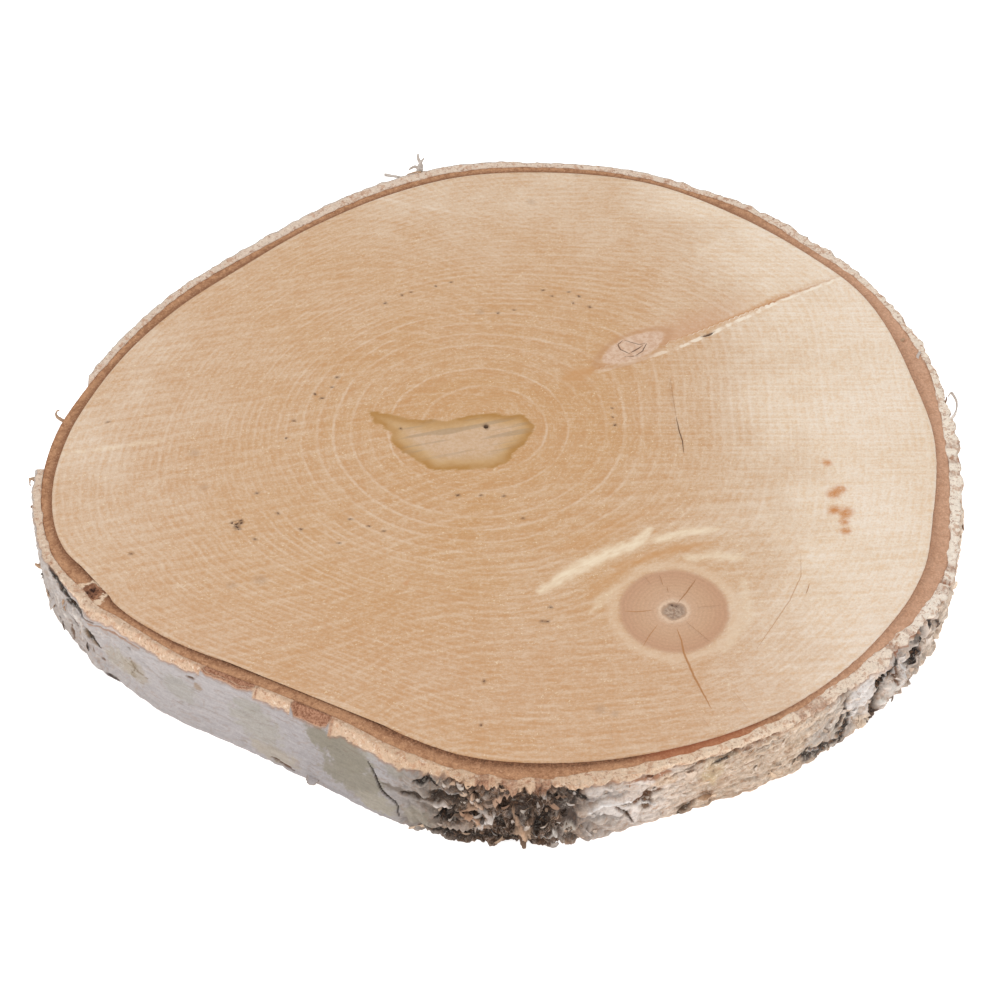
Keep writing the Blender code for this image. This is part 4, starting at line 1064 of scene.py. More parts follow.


# Cracks, hollows, smears, painted shadow lines and curled edges on the wall: points (angle, height), half
# width in millimetres at the middle, how far they stand out, colour, strength. The dark strokes in hollows
# and under the cut cork are partly painted shade.
BLACK = (30, 24, 21)
TAN_CURL = (226, 188, 160)
GREY_CURL = (214, 204, 196)
BARK_STROKES = [
    ([(203.4, 30.2), (205.6, 28.0), (208.2, 24.6)], 1.9, -0.5, BLACK, 1.0),
    ([(207.4, 23.0), (209.0, 24.4), (211.4, 25.2)], 1.7, -0.5, BLACK, 1.0),
    ([(210.0, 22.0), (211.6, 17.8), (213.4, 13.6)], 2.1, -0.4, (44, 34, 28), 0.95),
    ([(206.8, 14.6), (208.6, 12.4)], 0.8, -1.0, BLACK, 0.95),
    ([(204.4, 21.0), (205.6, 14.0), (206.8, 9.0)], 0.7, 0.9, GREY_CURL, 0.8),
    ([(208.4, 21.4), (209.4, 17.4), (211.0, 14.6)], 0.9, 0.9, GREY_CURL, 0.85),
    ([(211.6, 24.0), (214.0, 24.6), (220.0, 25.0)], 0.5, -0.3, (156, 116, 92), 0.8),
    ([(218.4, 18.0), (219.2, 14.4), (218.6, 11.0)], 0.35, 0.0, (104, 84, 60), 0.7),
    ([(217.4, 15.0), (219.4, 13.6), (221.2, 12.6)], 0.35, 0.0, (110, 90, 66), 0.6),
    ([(220.0, 19.6), (222.4, 17.4), (224.6, 16.0)], 0.3, -0.25, (158, 148, 142), 0.8),
    ([(226.6, 11.0), (230.0, 12.4), (234.0, 11.6)], 0.3, -0.25, (158, 148, 142), 0.8),
    ([(234.4, 18.6), (238.0, 16.4), (240.6, 18.0)], 0.3, -0.25, (156, 146, 138), 0.8),
    ([(234.6, 8.6), (238.0, 8.0), (242.0, 8.0)], 0.3, -0.25, (160, 150, 144), 0.7),
    ([(247.0, 18.4), (249.0, 21.0), (250.4, 19.0)], 0.3, -0.25, (126, 118, 106), 0.8),
    ([(248.6, 8.4), (250.4, 7.4), (251.0, 10.4)], 0.3, -0.2, (132, 124, 112), 0.7),
    ([(239.4, 3.6), (243.4, 1.6)], 0.5, -0.5, (104, 80, 64), 0.95),
    ([(254.0, 22.0), (254.8, 18.4), (255.8, 12.8), (257.8, 9.2), (258.1, 4.6)], 0.5, -0.6, HOLLOW_BLACK, 0.95),
    ([(258.4, 14.6), (261.0, 16.6), (264.0, 18.8), (266.6, 20.6)], 1.5, -0.8, (58, 47, 40), 0.9),
    ([(262.0, 20.4), (264.0, 21.6), (266.0, 22.6)], 0.5, 0.5, (190, 182, 178), 0.9),
    ([(262.6, 8.0), (264.2, 12.0), (266.2, 15.6)], 1.6, -1.0, BLACK, 1.0),
    ([(263.6, 6.8), (266.0, 8.6), (267.6, 8.0)], 0.9, 0.6, (176, 160, 148), 0.9),
    ([(261.4, 4.0), (266.5, 4.4), (272.0, 4.2)], 1.5, -0.8, (32, 25, 21), 0.95),
    ([(260.0, 23.0), (261.8, 24.6), (263.4, 23.8)], 1.2, -0.9, BLACK, 1.0),
    ([(266.0, 23.6), (267.8, 24.6)], 1.5, -2.0, BLACK, 1.0),
    ([(269.8, 22.4), (272.0, 20.6), (274.2, 22.8)], 3.2, -2.4, (44, 29, 21), 0.92),
    ([(274.0, 7.6), (274.8, 13.6), (275.4, 19.0)], 2.0, -2.6, (24, 18, 15), 1.0),
    ([(275.2, 25.4), (277.0, 22.0)], 1.4, -1.8, BLACK, 1.0),
    ([(276.2, 21.0), (277.4, 15.6), (278.4, 9.6)], 2.2, -1.4, (92, 80, 74), 0.9),
    ([(277.4, 25.6), (278.5, 24.4), (279.6, 22.0)], 1.8, -1.2, (36, 28, 24), 1.0),
    ([(269.4, 13.4), (270.6, 9.0)], 1.5, -1.6, (30, 22, 18), 0.95),
    ([(266.4, 23.6), (267.4, 21.4), (268.2, 19.2)], 0.7, 1.5, TAN_CURL, 1.0),
    ([(265.8, 14.0), (267.1, 12.2), (268.4, 9.4)], 0.8, 1.5, (198, 158, 130), 1.0),
    ([(267.2, 7.4), (268.4, 12.0), (269.4, 18.0)], 0.7, 1.8, GREY_CURL, 1.0),
    ([(271.4, 18.0), (272.2, 11.4), (273.0, 3.6)], 0.8, 1.2, (196, 160, 132), 0.9),
    ([(268.6, 23.4), (270.0, 25.0), (271.4, 24.0)], 0.8, 1.2, (206, 168, 142), 0.95),
    ([(275.9, 8.6), (276.2, 5.0), (274.6, 4.0)], 0.7, 1.0, (230, 222, 214), 0.95),
    ([(279.8, 15.6), (282.2, 16.6), (284.6, 16.0), (287.6, 11.6)], 0.7, 0.7, (240, 234, 230), 0.9),
    ([(279.4, 20.6), (282.0, 20.4), (284.6, 21.6)], 0.6, -0.5, (156, 146, 140), 0.8),
    ([(279.8, 11.0), (282.4, 10.6), (283.8, 8.0)], 0.8, -0.5, (150, 142, 136), 0.8),
    ([(280.0, 28.4), (284.0, 28.8), (289.0, 28.2)], 0.6, -0.5, (168, 122, 92), 0.85),
    ([(283.0, 14.4), (284.2, 11.0), (285.2, 4.6)], 0.6, -1.2, (70, 54, 44), 0.95),
    ([(284.6, 14.6), (286.2, 16.4), (288.2, 18.6)], 1.3, -1.4, (112, 80, 60), 0.95),
    ([(286.0, 26.0), (289.4, 26.4)], 0.8, -0.6, (170, 120, 92), 0.9),
    ([(288.0, 23.4), (292.8, 26.4), (297.4, 27.4), (301.6, 28.0),
      (305.4, 28.8)], 0.45, -0.7, (104, 78, 60), 0.9),
    ([(291.0, 0.8), (292.2, 3.0), (293.0, 6.0)], 1.3, -1.6, (88, 70, 56), 0.95),
    ([(293.2, 20.6), (294.4, 16.4), (295.2, 11.0)], 1.5, 0.2, (200, 176, 138), 0.45),
    ([(294.4, 23.8), (296.4, 25.4)], 0.8, -0.6, (58, 46, 38), 0.9),
    ([(299.6, 23.6), (304.0, 26.0)], 0.35, -0.5, (120, 92, 72), 0.8),
    ([(298.0, 16.0), (301.6, 18.6), (303.6, 18.0)], 0.35, -0.4, (140, 110, 88), 0.8),
    ([(306.4, 7.4), (309.2, 6.2), (312.0, 5.0)], 2.0, -0.8, (64, 56, 51), 0.95),
    ([(307.4, 8.6), (309.6, 5.0)], 0.35, 0.6, (206, 200, 196), 0.9),
    ([(313.0, 1.6), (313.2, 9.0), (313.6, 17.0)], 1.5, -0.5, (50, 43, 39), 0.95),
    ([(311.4, 12.0), (312.4, 17.6), (312.8, 24.0)], 1.2, -0.5, (54, 46, 42), 0.95),
    ([(314.8, 26.0), (315.6, 20.0), (316.4, 13.0)], 1.6, 0.3, (236, 230, 226), 0.7),
    ([(320.4, 27.0), (319.6, 19.0), (318.2, 10.0), (317.4, 1.6)], 3.0, -0.9, (22, 17, 14), 1.0),
    ([(321.2, 22.0), (321.8, 16.0), (322.2, 10.0)], 1.1, -0.5, (104, 74, 56), 0.9),
    ([(323.0, 20.6), (323.4, 14.6), (323.2, 8.0)], 1.2, 0.3, (228, 222, 218), 0.9),
    ([(315.6, 3.0), (315.0, 9.6), (316.6, 9.0), (317.4, 3.0)], 0.6, 1.4, (236, 212, 188), 0.95),
    ([(326.0, 26.6), (325.2, 20.6), (324.6, 12.6)], 1.8, -0.5, BLACK, 1.0),
    ([(320.8, 28.4), (323.4, 28.2), (325.6, 28.6)], 0.6, -0.8, (172, 118, 88), 0.9),
    ([(327.8, 28.0), (328.6, 24.0)], 1.5, -0.4, (58, 52, 49), 0.95),
    ([(330.0, 23.6), (330.8, 15.0)], 1.2, -0.4, (70, 60, 54), 0.95),
    ([(333.6, 27.6), (335.2, 24.0)], 0.6, -0.6, (128, 100, 80), 0.8),
]
# About how long one degree is along the wall.
MM_PER_DEGREE = 2.83


def stroke_share(points, half, angle, height, warp):
    """How far a place is inside a stroke, 0 to 1; strokes thin out to their ends."""
    x = angle_between(angle, points[0][0]) * MM_PER_DEGREE
    length = 0.0
    spans = []
    for (a0, h0), (a1, h1) in zip(points, points[1:]):
        x0 = angle_between(a0, points[0][0]) * MM_PER_DEGREE
        x1 = angle_between(a1, points[0][0]) * MM_PER_DEGREE
        size = math.hypot(x1 - x0, h1 - h0)
        spans.append((x0, h0, x1 - x0, h1 - h0, size))
        length += size
    if not -length - 3.0 < x < length + 3.0:
        return 0.0
    nearest = 99.0
    place = 0.0
    done = 0.0
    for x0, h0, run, climb, size in spans:
        t = min(1.0, max(0.0, ((x - x0) * run + (height - h0) * climb) / (size * size)))
        off = math.hypot(x - x0 - run * t, height - h0 - climb * t)
        if off < nearest:
            nearest = off
            place = (done + size * t) / length
        done += size
    width = half * (0.35 + 0.65 * math.sin(math.pi * place)) * (1.0 + 0.7 * warp)
    return 1.0 - eased(0.65 * width, 1.25 * width, nearest)


# Brown bites in the cut cork rim: angle, half width, strength.
CORK_BITES = [
    (233.0, 3.9, 1.0), (245.3, 2.9, 1.0), (308.4, 1.4, 0.6), (305.9, 0.5, 0.7), (336.2, 0.6, 0.9),
    (333.8, 0.5, 1.0), (321.3, 0.6, 0.7), (352.5, 0.5, 0.6), (355.0, 0.7, 0.7), (357.8, 0.6, 0.6),
    (324.4, 0.35, 0.5), (332.5, 0.5, 0.4), (268.0, 0.8, 0.8), (271.0, 0.9, 0.7), (274.8, 0.9, 0.8),
    (14.0, 0.5, 0.5),
]


def cork_spots(angle):
    total = 0.0
    for centre, half, strength in CORK_BITES:
        ragged = 0.22 * noise.noise(Vector((angle * 3.0, centre, 0.0)))
        off = abs(angle_between(angle, centre)) / half + ragged
        total = max(total, strength * (1.0 - eased(0.9, 1.06, off)))
    return total


# How far down the wall the cut cork slopes, by angle.
CORK_DROP = [
    (0, 0.3), (120, 0.0), (198, 0.2), (206, 0.8), (210, 2.2), (216, 3.6), (228, 3.6), (240, 3.8),
    (252, 4.2), (259, 3.6), (266, 2.4), (272, 1.8), (280, 2.2), (290, 2.4), (300, 2.4), (309, 1.6),
    (317, 0.9), (326, 1.2), (340, 0.4),
]
DROP = sampled(CORK_DROP)

# The cut cork's colour round the slice.
CORK_TONES = [
    (0, (252, 238, 220)), (60, (234, 212, 192)), (180, (230, 208, 188)), (208, (224, 196, 170)),
    (222, (216, 184, 156)), (250, (216, 184, 156)), (262, (216, 184, 154)), (272, (222, 188, 158)),
    (280, (226, 196, 168)), (290, (232, 204, 176)), (304, (238, 214, 190)), (330, (252, 238, 222)),
]


def blended(table, angle):
    """The values of a table round the slice, blended evenly between its angles."""
    angle %= 360.0
    for (a0, values0), (a1, values1) in zip(table, table[1:] + [(360, table[0][1])]):
        if a0 <= angle <= a1:
            t = (angle - a0) / (a1 - a0)
            return [p + (q - p) * t for p, q in zip(values0, values1)]


# How far apart the bark's columns stand: angles from and to, gap. The first that holds an angle counts.
COLUMN_GAPS = [
    (253, 285, 0.16), (202, 215, 0.16), (200, 347, 0.24), (165, 361, 0.34), (-1, 60, 0.34), (-1, 361, 0.5),
]


def bark_columns():
    """Angles round the ring, closest together on the rough front that shows."""
    angles = []
    angle = 0.0
    while angle < 359.9:
        angles.append(angle)
        angle += next(gap for start, end, gap in COLUMN_GAPS if start < angle < end)
    return angles


WALL_ROWS = 52
CUT_ROWS = 6
PLATE_EDGE_BROWN = (150, 112, 84)
# Painted shade: the brown laid on the band just under the cut cork's sloping edge.
UNDERCUT_SHADE_BROWN = (158, 116, 92)
INSIDE_BROWN = (176, 130, 98)


def bark_point(angle, height):
    """Relief, colour, darkness and shredding of the outer bark's wall at one place."""
    depth = curve_at(DEPTH, angle)
    torn_share = curve_at(TORN_SHARE, angle)
    relief, fissure, place = bark_relief(angle, height)
    fine = noise.noise(place / 2.1)
    finer = noise.noise(place / 0.95)
    layer_place = Vector((place.x / 16.0, place.y / 16.0, place.z / 6.0))
    layers = noise.noise(layer_place) * 3.0 + 0.5 * noise.noise(layer_place * 3.1)
    edge = layers - math.floor(layers)
    papery = (edge if edge < 0.86 else (1.0 - edge) / 0.14 * 0.86) - 0.4
    smooth = 1.0 - min(1.0, depth / 0.9)
    lines = noise.noise(Vector((place.x / 9.0, place.y / 9.0, place.z / 0.75)))
    border, tilt, chances = torn_plates(angle, height, place, 1.0, 0.0)
    small_border, small_tilt, small_chances = torn_plates(angle, height, place, 0.46, 4.0)
    crevice = 1.0 - eased(0.02, 0.20, border + 0.10 * finer)
    small_crevice = 1.0 - eased(0.02, 0.16, small_border + 0.10 * finer)
    relief *= 1.0 - 0.25 * torn_share
    relief += torn_share * (1.4 * tilt + 1.0 * (chances[0] - 0.5) - 0.8 * crevice)
    relief += torn_share * (0.45 * small_tilt + 0.25 * (small_chances[0] - 0.5) - 0.2 * small_crevice)
    relief += depth * (0.22 * fine + 0.12 * finer)
    relief += (0.12 + 0.08 * depth) * papery
    relief += smooth * 0.10 * lines
    *base, dark_share = blended(BARK_TONES, angle)
    color = np.array(base)
    # Lower down the wall turns greyer, as less light reaches it.
    color *= 1.0 - 0.07 * (1.0 - height / THICKNESS)
    rough = min(1.0, depth / 1.6)
    color *= 1.0 + 0.05 * lines * (1.0 - rough) + rough * 0.06 * fine + 0.04 * finer
    shredded = curve_at(SHRED, angle) * eased(31.0, 27.5, height)
    scar_share = min(1.0, shredded * 1.5)
    plate = shade_of(SCAR_SHADES, 0.55 * chances[0] + 0.45 * small_chances[1]) * scar_share
    plate += shade_of(PALE_SHADES, 0.4 * chances[1] + 0.6 * small_chances[2]) * (1.0 - scar_share)
    # Each plate is painted lighter or darker by its tilt: painted light and shade.
    plate *= 1.0 + 0.25 * tilt + 0.15 * small_tilt
    plate_share = min(1.0, torn_share * 0.75)
    color = blend(color, plate, plate_share)
    edge_glow = eased(0.80, 0.9, edge) * (0.2 + 0.4 * rough)
    color = blend(color, PLATE_EDGE_BROWN, 0.5 * edge_glow)
    # dark is partly the fissures' own black and partly painted shade in the crevices between torn plates.
    cavity = eased(0.30, 0.75, -fissure * 0.6 - 0.4 * fine + 0.25 * finer + 0.5 * (0.5 - chances[0]))
    dark = max(cavity * dark_share * 1.2, crevice * torn_share * (0.35 + 0.6 * chances[2]))
    dark = min(1.0, max(dark, small_crevice * torn_share * 0.45 * small_chances[2]))
    warp = 0.34 * fine + 0.2 * finer + 0.25 * tilt * torn_share
    color *= curve_at(SHINE, angle)
    for *shape, tone, strength, raised in BARK_PATCHES:
        share = patch_share(shape, angle, height, warp)
        if share > 0.0:
            covered = share * strength
            color = blend(color, tone, covered)
            dark *= 1.0 - 0.8 * covered
            shredded *= 1.0 - 0.55 * covered
            relief += raised * share
    for points, half, raised, tone, strength in BARK_STROKES:
        share = stroke_share(points, half, angle, height, 0.5 * fine + 0.35 * finer)
        if share > 0.0:
            covered = min(1.0, share * 1.3) * strength
            color = blend(color, tone, covered)
            dark *= 1.0 - 0.9 * covered
            shredded *= 1.0 - 0.8 * covered
            relief += raised * share
    relief -= dark * (0.2 + 0.25 * depth)
    return relief, color, dark, shredded


THINNEST_BARK = 1.1


def wall_radius(angle, height, relief):
    width = curve_at(OUTER, angle)
    return float(inner_bark_radius(angle, height)) + width + max(relief, THINNEST_BARK - width)


def make_outer_bark_material(name):
    s = Shader(name)
    tint = s.number("tint", "Color")
    dark = s.number("dark")
    cork = s.number("cork")
    scar = s.number("scar")
    grain = s.noise(0.7, 3.0, 0.7)
    level = s.noise(2.6, 3.0, 0.6, s.stretch(0.4, 0.4, 3.2))
    shade = s.times(s.step(grain, 0.32, 0.68, 0.93, 1.05), s.step(level, 0.32, 0.68, 0.94, 1.05))
    wall = s.lighten(tint, shade)
    dash = s.step(s.noise(1.5, 2.0, 0.5, s.stretch(0.22, 0.22, 1.6)), 0.63, 0.69)
    wall = s.over(wall, (124, 104, 90), dash, s.fall(scar, 0.0, 0.3), 0.3)

    # Shredded layers in the scars: black for the painted shade of hollows, brown fibres, cream and white
    # edges.
    shreds = s.noise(2.2, 5.0, 0.68, s.stretch(0.7, 0.7, 1.3), 1.2)
    layers = s.ramp(shreds, [
        (0.38, (30, 23, 19)), (0.46, (70, 52, 40)), (0.50, (142, 112, 90)), (0.52, (208, 178, 152)),
        (0.54, (214, 203, 196)), (0.56, (120, 100, 88)), (0.6, (70, 52, 40)), (0.7, (150, 118, 94)),
    ])
    wall = s.over(wall, layers, scar, 0.5)
    # The flaky wall is mottled finely in brown, cream and near black.
    rough = s.number("rough")
    mottle = s.noise(1.7, 5.0, 0.78)
    wall = s.over(wall, (172, 130, 100), s.step(mottle, 0.53, 0.62), rough, 0.75)
    wall = s.over(wall, (244, 230, 214), s.step(mottle, 0.46, 0.38), rough, 0.6)
    specks = s.step(s.noise(1.1, 4.0, 0.75), 0.61, 0.68)
    wall = s.over(wall, (78, 58, 45), specks, rough, 0.8)
    # The dark share is laid on in near black: the fissures' own black and painted shade in the crevices
    # between plates.
    fissure_black_and_shade = s.mix(s.step(s.noise(1.4, 3.0, 0.7), 0.42, 0.62), (26, 20, 17), (74, 56, 44))
    wall = s.over(wall, fissure_black_and_shade, dark, s.step(grain, 0.3, 0.55, 0.7, 1.0))
    cork_grain = s.noise(0.85, 4.0, 0.75)
    cut = s.lighten(tint, s.step(cork_grain, 0.36, 0.64, 0.88, 1.06))
    cut = s.over(cut, (196, 148, 116), s.step(s.noise(2.6, 4.0, 0.7), 0.52, 0.62), 0.65)
    cut = s.over(cut, (160, 110, 82), s.step(s.noise(1.6, 4.0, 0.75), 0.55, 0.63), 0.65)
    cut = s.over(cut, (250, 234, 214), s.step(s.noise(1.9, 4.0, 0.75), 0.44, 0.36), 0.5)
    bite = s.mix(s.step(cork_grain, 0.38, 0.62), (138, 92, 68), (188, 140, 112))
    cut = s.mix(s.number("bite"), cut, bite)
    color = s.mix(cork, wall, cut)
    return s.finish(color, 0.82, s.plus(s.times(grain, 0.6), s.times(cork, cork_grain)), 0.35, 0.2)


# How finely mottled the wall is round the slice.
FLAKY_ANGLES = (0, 30, 60, 200, 210, 224, 258, 262, 276, 281, 288, 304, 314, 340, 360)
FLAKY_SHARES = (0.6, 0.6, 0.2, 0.2, 0.45, 0.0, 0.0, 0.25, 0.3, 0.35, 0.8, 0.9, 0.6, 0.6, 0.6)


def tint_of(color):
    return srgb(*np.clip(color, 0.0, 255.0))


def ring_faces(count, rows):
    """Faces of a closed ring of columns, each of them a closed loop of rows."""
    faces = []
    for i in range(count):
        j = (i + 1) % count
        for row in range(rows):
            up = (row + 1) % rows
            faces.append((i * rows + row, j * rows + row, j * rows + up, i * rows + up))
    return faces


def bark_column(angle):
    """One section of the bark, up the wall, over the cut rim and down the inner side.

    Each row is radius, height, colour, and the shares of dark, cut cork, brown bite and shredded scar.
    """
    torn = torn_down_to(angle)
    whole = torn is not None and angle < LAST_FULL_TEAR
    top = rim_relief(angle)
    if whole:
        top = min(top, max(torn, LOWEST_TEAR))
    elif torn is not None:
        top = min(top, max(torn + 1.2, LOWEST_BITE))
    bottom = 0.3 + 0.35 * abs(round_noise(angle, 60.0, 1.0))
    bitten = cork_spots(angle)
    rim_color = np.array(blended(CORK_TONES, angle))
    uneven = round_noise(angle, 34.0, 6.0) + 0.5 * round_noise(angle, 90.0, 7.0)
    drop = max(0.0, curve_at(DROP, angle) * (1.0 + 0.45 * uneven))
    if torn is not None:
        drop = 0.0 if whole else 0.8
    column = []
    for i in range(WALL_ROWS):
        height = bottom + (top - bottom) * (i / (WALL_ROWS - 1))
        relief, color, dark, shredded = bark_point(angle, height)
        # The wall's upper and lower edges are rounded over.
        relief -= EDGE_ROUNDING * (1.0 - eased(0.0, 0.8, min(height - bottom, top - height)))
        over = height - (top - drop)
        sloping = eased(-0.15, 0.35, over) if drop > 0.15 else 0.0
        # Just under the cork's slope the wall is sunk and painted brown as shade.
        under = eased(-1.1, -0.3, over) * (1.0 - sloping) if drop > 0.15 else 0.0
        color = blend(blend(color, UNDERCUT_SHADE_BROWN, 0.55 * under), rim_color, sloping)
        relief -= 0.28 * max(0.0, over) + 0.3 * under
        radius = wall_radius(angle, height, relief)
        left = 1.0 - sloping
        column.append((radius, height, color, dark * left, sloping, bitten * sloping, shredded * left))
    outer_radius = column[-1][0]
    torn_share = curve_at(TORN_SHARE, angle)
    # Over the rough bark the cork's inner edge runs in rounded lobes.
    lobes = round_noise(angle, 26.0, 3.0) + 0.4 * round_noise(angle, 70.0, 8.0)
    inner_top = float(inner_bark_radius(angle, THICKNESS)) + RING_OVERLAP
    if not whole:
        inner_top -= max(0.0, 0.45 + 1.5 * lobes) * min(1.0, 2.0 * torn_share)
    inner_height = top if whole else THICKNESS - 0.10
    for i in range(1, CUT_ROWS + 1):
        share = i / CUT_ROWS
        radius = outer_radius + (inner_top - outer_radius) * share
        rough = round_noise(angle, radius, 2.0, 1.1)
        height = top + (inner_height - top) * share
        height += ((0.25 + 0.5 * torn_share) * rough - 0.4 * bitten) * math.sin(math.pi * share)
        if PALE_EDGED_BITE[0] < angle < PALE_EDGED_BITE[1]:
            deep_bite = bitten * eased(0.1, 0.35, share)
        elif torn is None:
            deep_bite = bitten * min(1.0, max(0.0, 0.75 + 1.2 * rough))
        else:
            deep_bite = bitten
        column.append((radius, height, rim_color, 0.0, 1.0, deep_bite, 0.0))
    for height in (min(15.0, top - 1.0), bottom):
        radius = float(inner_bark_radius(angle, height)) + RING_OVERLAP
        column.append((radius, height, INSIDE_BROWN, 0.0, 1.0, 1.0, 0.0))
    return column


SKIN_VALUES = ("dark", "cork", "bite", "scar", "rough")


def make_outer_bark():
    """The outer bark as one closed ring: rough wall, cut cork rim, inner side and underside."""
    angles = bark_columns()
    vertices = []
    skin = []
    for angle in angles:
        turn = math.radians(angle)
        flaky = float(np.interp(angle, FLAKY_ANGLES, FLAKY_SHARES))
        for radius, height, color, dark, cork, bite, scar in bark_column(angle):
            vertices.append((radius * math.cos(turn), radius * math.sin(turn), height))
            skin.append((*tint_of(color), dark, cork, bite, scar, flaky * (1.0 - cork)))
    skin = np.array(skin)
    values = {"tint": skin[:, :3]} | dict(zip(SKIN_VALUES, skin[:, 3:].T))
    faces = ring_faces(len(angles), len(vertices) // len(angles))
    return mesh_object("outer_bark_skin", vertices, faces, make_outer_bark_material("outer_bark"), values)


# The flakes that show one by one: angle, height, reach, rise, drift, width, bend.
KNOWN_FLAKES = [
    (198.0, 14.0, 2.4, 1.5, -1.0, 2.8, 0.0), (203.0, 12.0, 2.4, -3.0, 1.0, 4.0, 0.0),
    (206.5, 20.0, 2.2, -1.5, 1.5, 2.6, 0.0), (246.0, 2.4, 2.2, -1.0, 0.5, 5.0, 0.0),
    (272.5, 4.0, 4.0, -1.6, 0.5, 2.6, 0.0), (291.0, 22.0, 1.6, 2.0, 3.5, 4.0, 0.5),
    (294.0, 6.0, 4.4, 2.5, 2.5, 4.6, 0.4), (302.0, 8.0, 1.6, -2.0, 2.5, 3.0, 0.0),
    (322.0, 12.0, 2.4, -1.5, 3.0, 4.0, 0.6), (327.0, 19.0, 2.4, 1.5, 3.0, 4.0, 0.6),
    (331.0, 8.0, 2.4, -1.5, 2.0, 4.0, 0.5), (338.5, 14.0, 2.0, 1.0, 2.0, 3.6, 0.4),
]

# Strips that stand clear of the rim: points (angle, radius, height), width, whether they lie flat
# along the rim, colour.
PALE_STRIP = (226, 214, 204)
TAN_STRIP = (206, 172, 142)
LOOSE_STRIPS = [
    ([(101.9, 157.0, 28.6), (101.4, 161.0, 31.3), (101.7, 163.0, 34.0),
      (101.6, 164.5, 35.0)], 1.7, False, PALE_STRIP),
    ([(102.3, 157.4, 29.4), (101.6, 160.4, 33.0), (100.9, 161.9, 34.4)], 1.5, False, PALE_STRIP),
    ([(101.4, 158.6, 30.6), (102.4, 160.0, 32.0), (103.3, 159.8, 31.0)], 1.8, True, PALE_STRIP),
    ([(104.4, 157.0, 28.6), (103.0, 158.2, 29.8), (101.6, 158.0, 30.6)], 2.2, True, TAN_STRIP),
    ([(106.9, 160.4, 30.0), (105.4, 157.8, 30.2), (104.0, 156.6, 29.4)], 1.5, True, PALE_STRIP),
    ([(2.7, 163.4, 27.0), (4.5, 168.0, 28.0), (5.9, 169.1, 29.5), (7.1, 167.9, 31.0),
      (6.6, 166.4, 31.0)], 2.2, True, PALE_STRIP),
    ([(5.2, 163.2, 27.6), (6.0, 165.0, 29.0), (6.7, 166.0, 30.4)], 1.1, False, (140, 98, 68)),
    ([(14.6, 160.6, 28.4), (15.4, 162.6, 30.4), (15.2, 163.4, 31.6)], 2.0, False, PALE_STRIP),
    ([(19.2, 158.8, 28.4), (18.8, 160.4, 30.2), (18.6, 161.0, 31.0)], 1.8, False, TAN_STRIP),
    ([(176.8, 159.4, 27.6), (176.5, 162.6, 29.0), (176.0, 163.2, 30.0),
      (175.8, 162.2, 30.4)], 1.7, False, TAN_STRIP),
    ([(187.6, 165.6, 28.4), (187.9, 169.4, 29.2), (188.2, 170.2, 28.4),
      (188.4, 170.2, 27.2)], 2.4, False, TAN_STRIP),
    ([(192.4, 166.4, 27.0), (192.0, 169.4, 26.6), (191.5, 170.8, 25.8)], 1.8, False, (150, 116, 92)),
    ([(347.0, 166.5, 28.0), (345.4, 168.6, 27.5), (344.0, 170.4, 26.5)], 2.0, True, (176, 136, 108)),
    ([(341.4, 166.6, 27.5), (340.2, 169.0, 27.0), (339.4, 170.3, 26.4)], 2.0, True, TAN_STRIP),
    ([(263.6, 159.6, 3.2), (261.6, 162.2, 2.4), (259.4, 164.6, 1.8)], 2.0, True, (222, 194, 168)),
]
# How deep a flake is rooted, how thick it is, and how many points lie across it.
FLAKE_ROOT = 1.4
FLAKE_THICKNESS = 0.42
SHEET_ROWS = 5
# Where loose shreds grow on the wall: angles from and to, how many, how much they stand out.
SHRED_STRETCHES = [
    (263, 268, 34, 0.8), (268, 278, 64, 1.0), (278, 284, 12, 0.5), (284, 310, 34, 0.5),
    (310, 336, 60, 0.6), (336, 372, 30, 0.35), (196, 211, 18, 0.7), (60, 165, 50, 0.35),
]
SHRED_SEED = 23


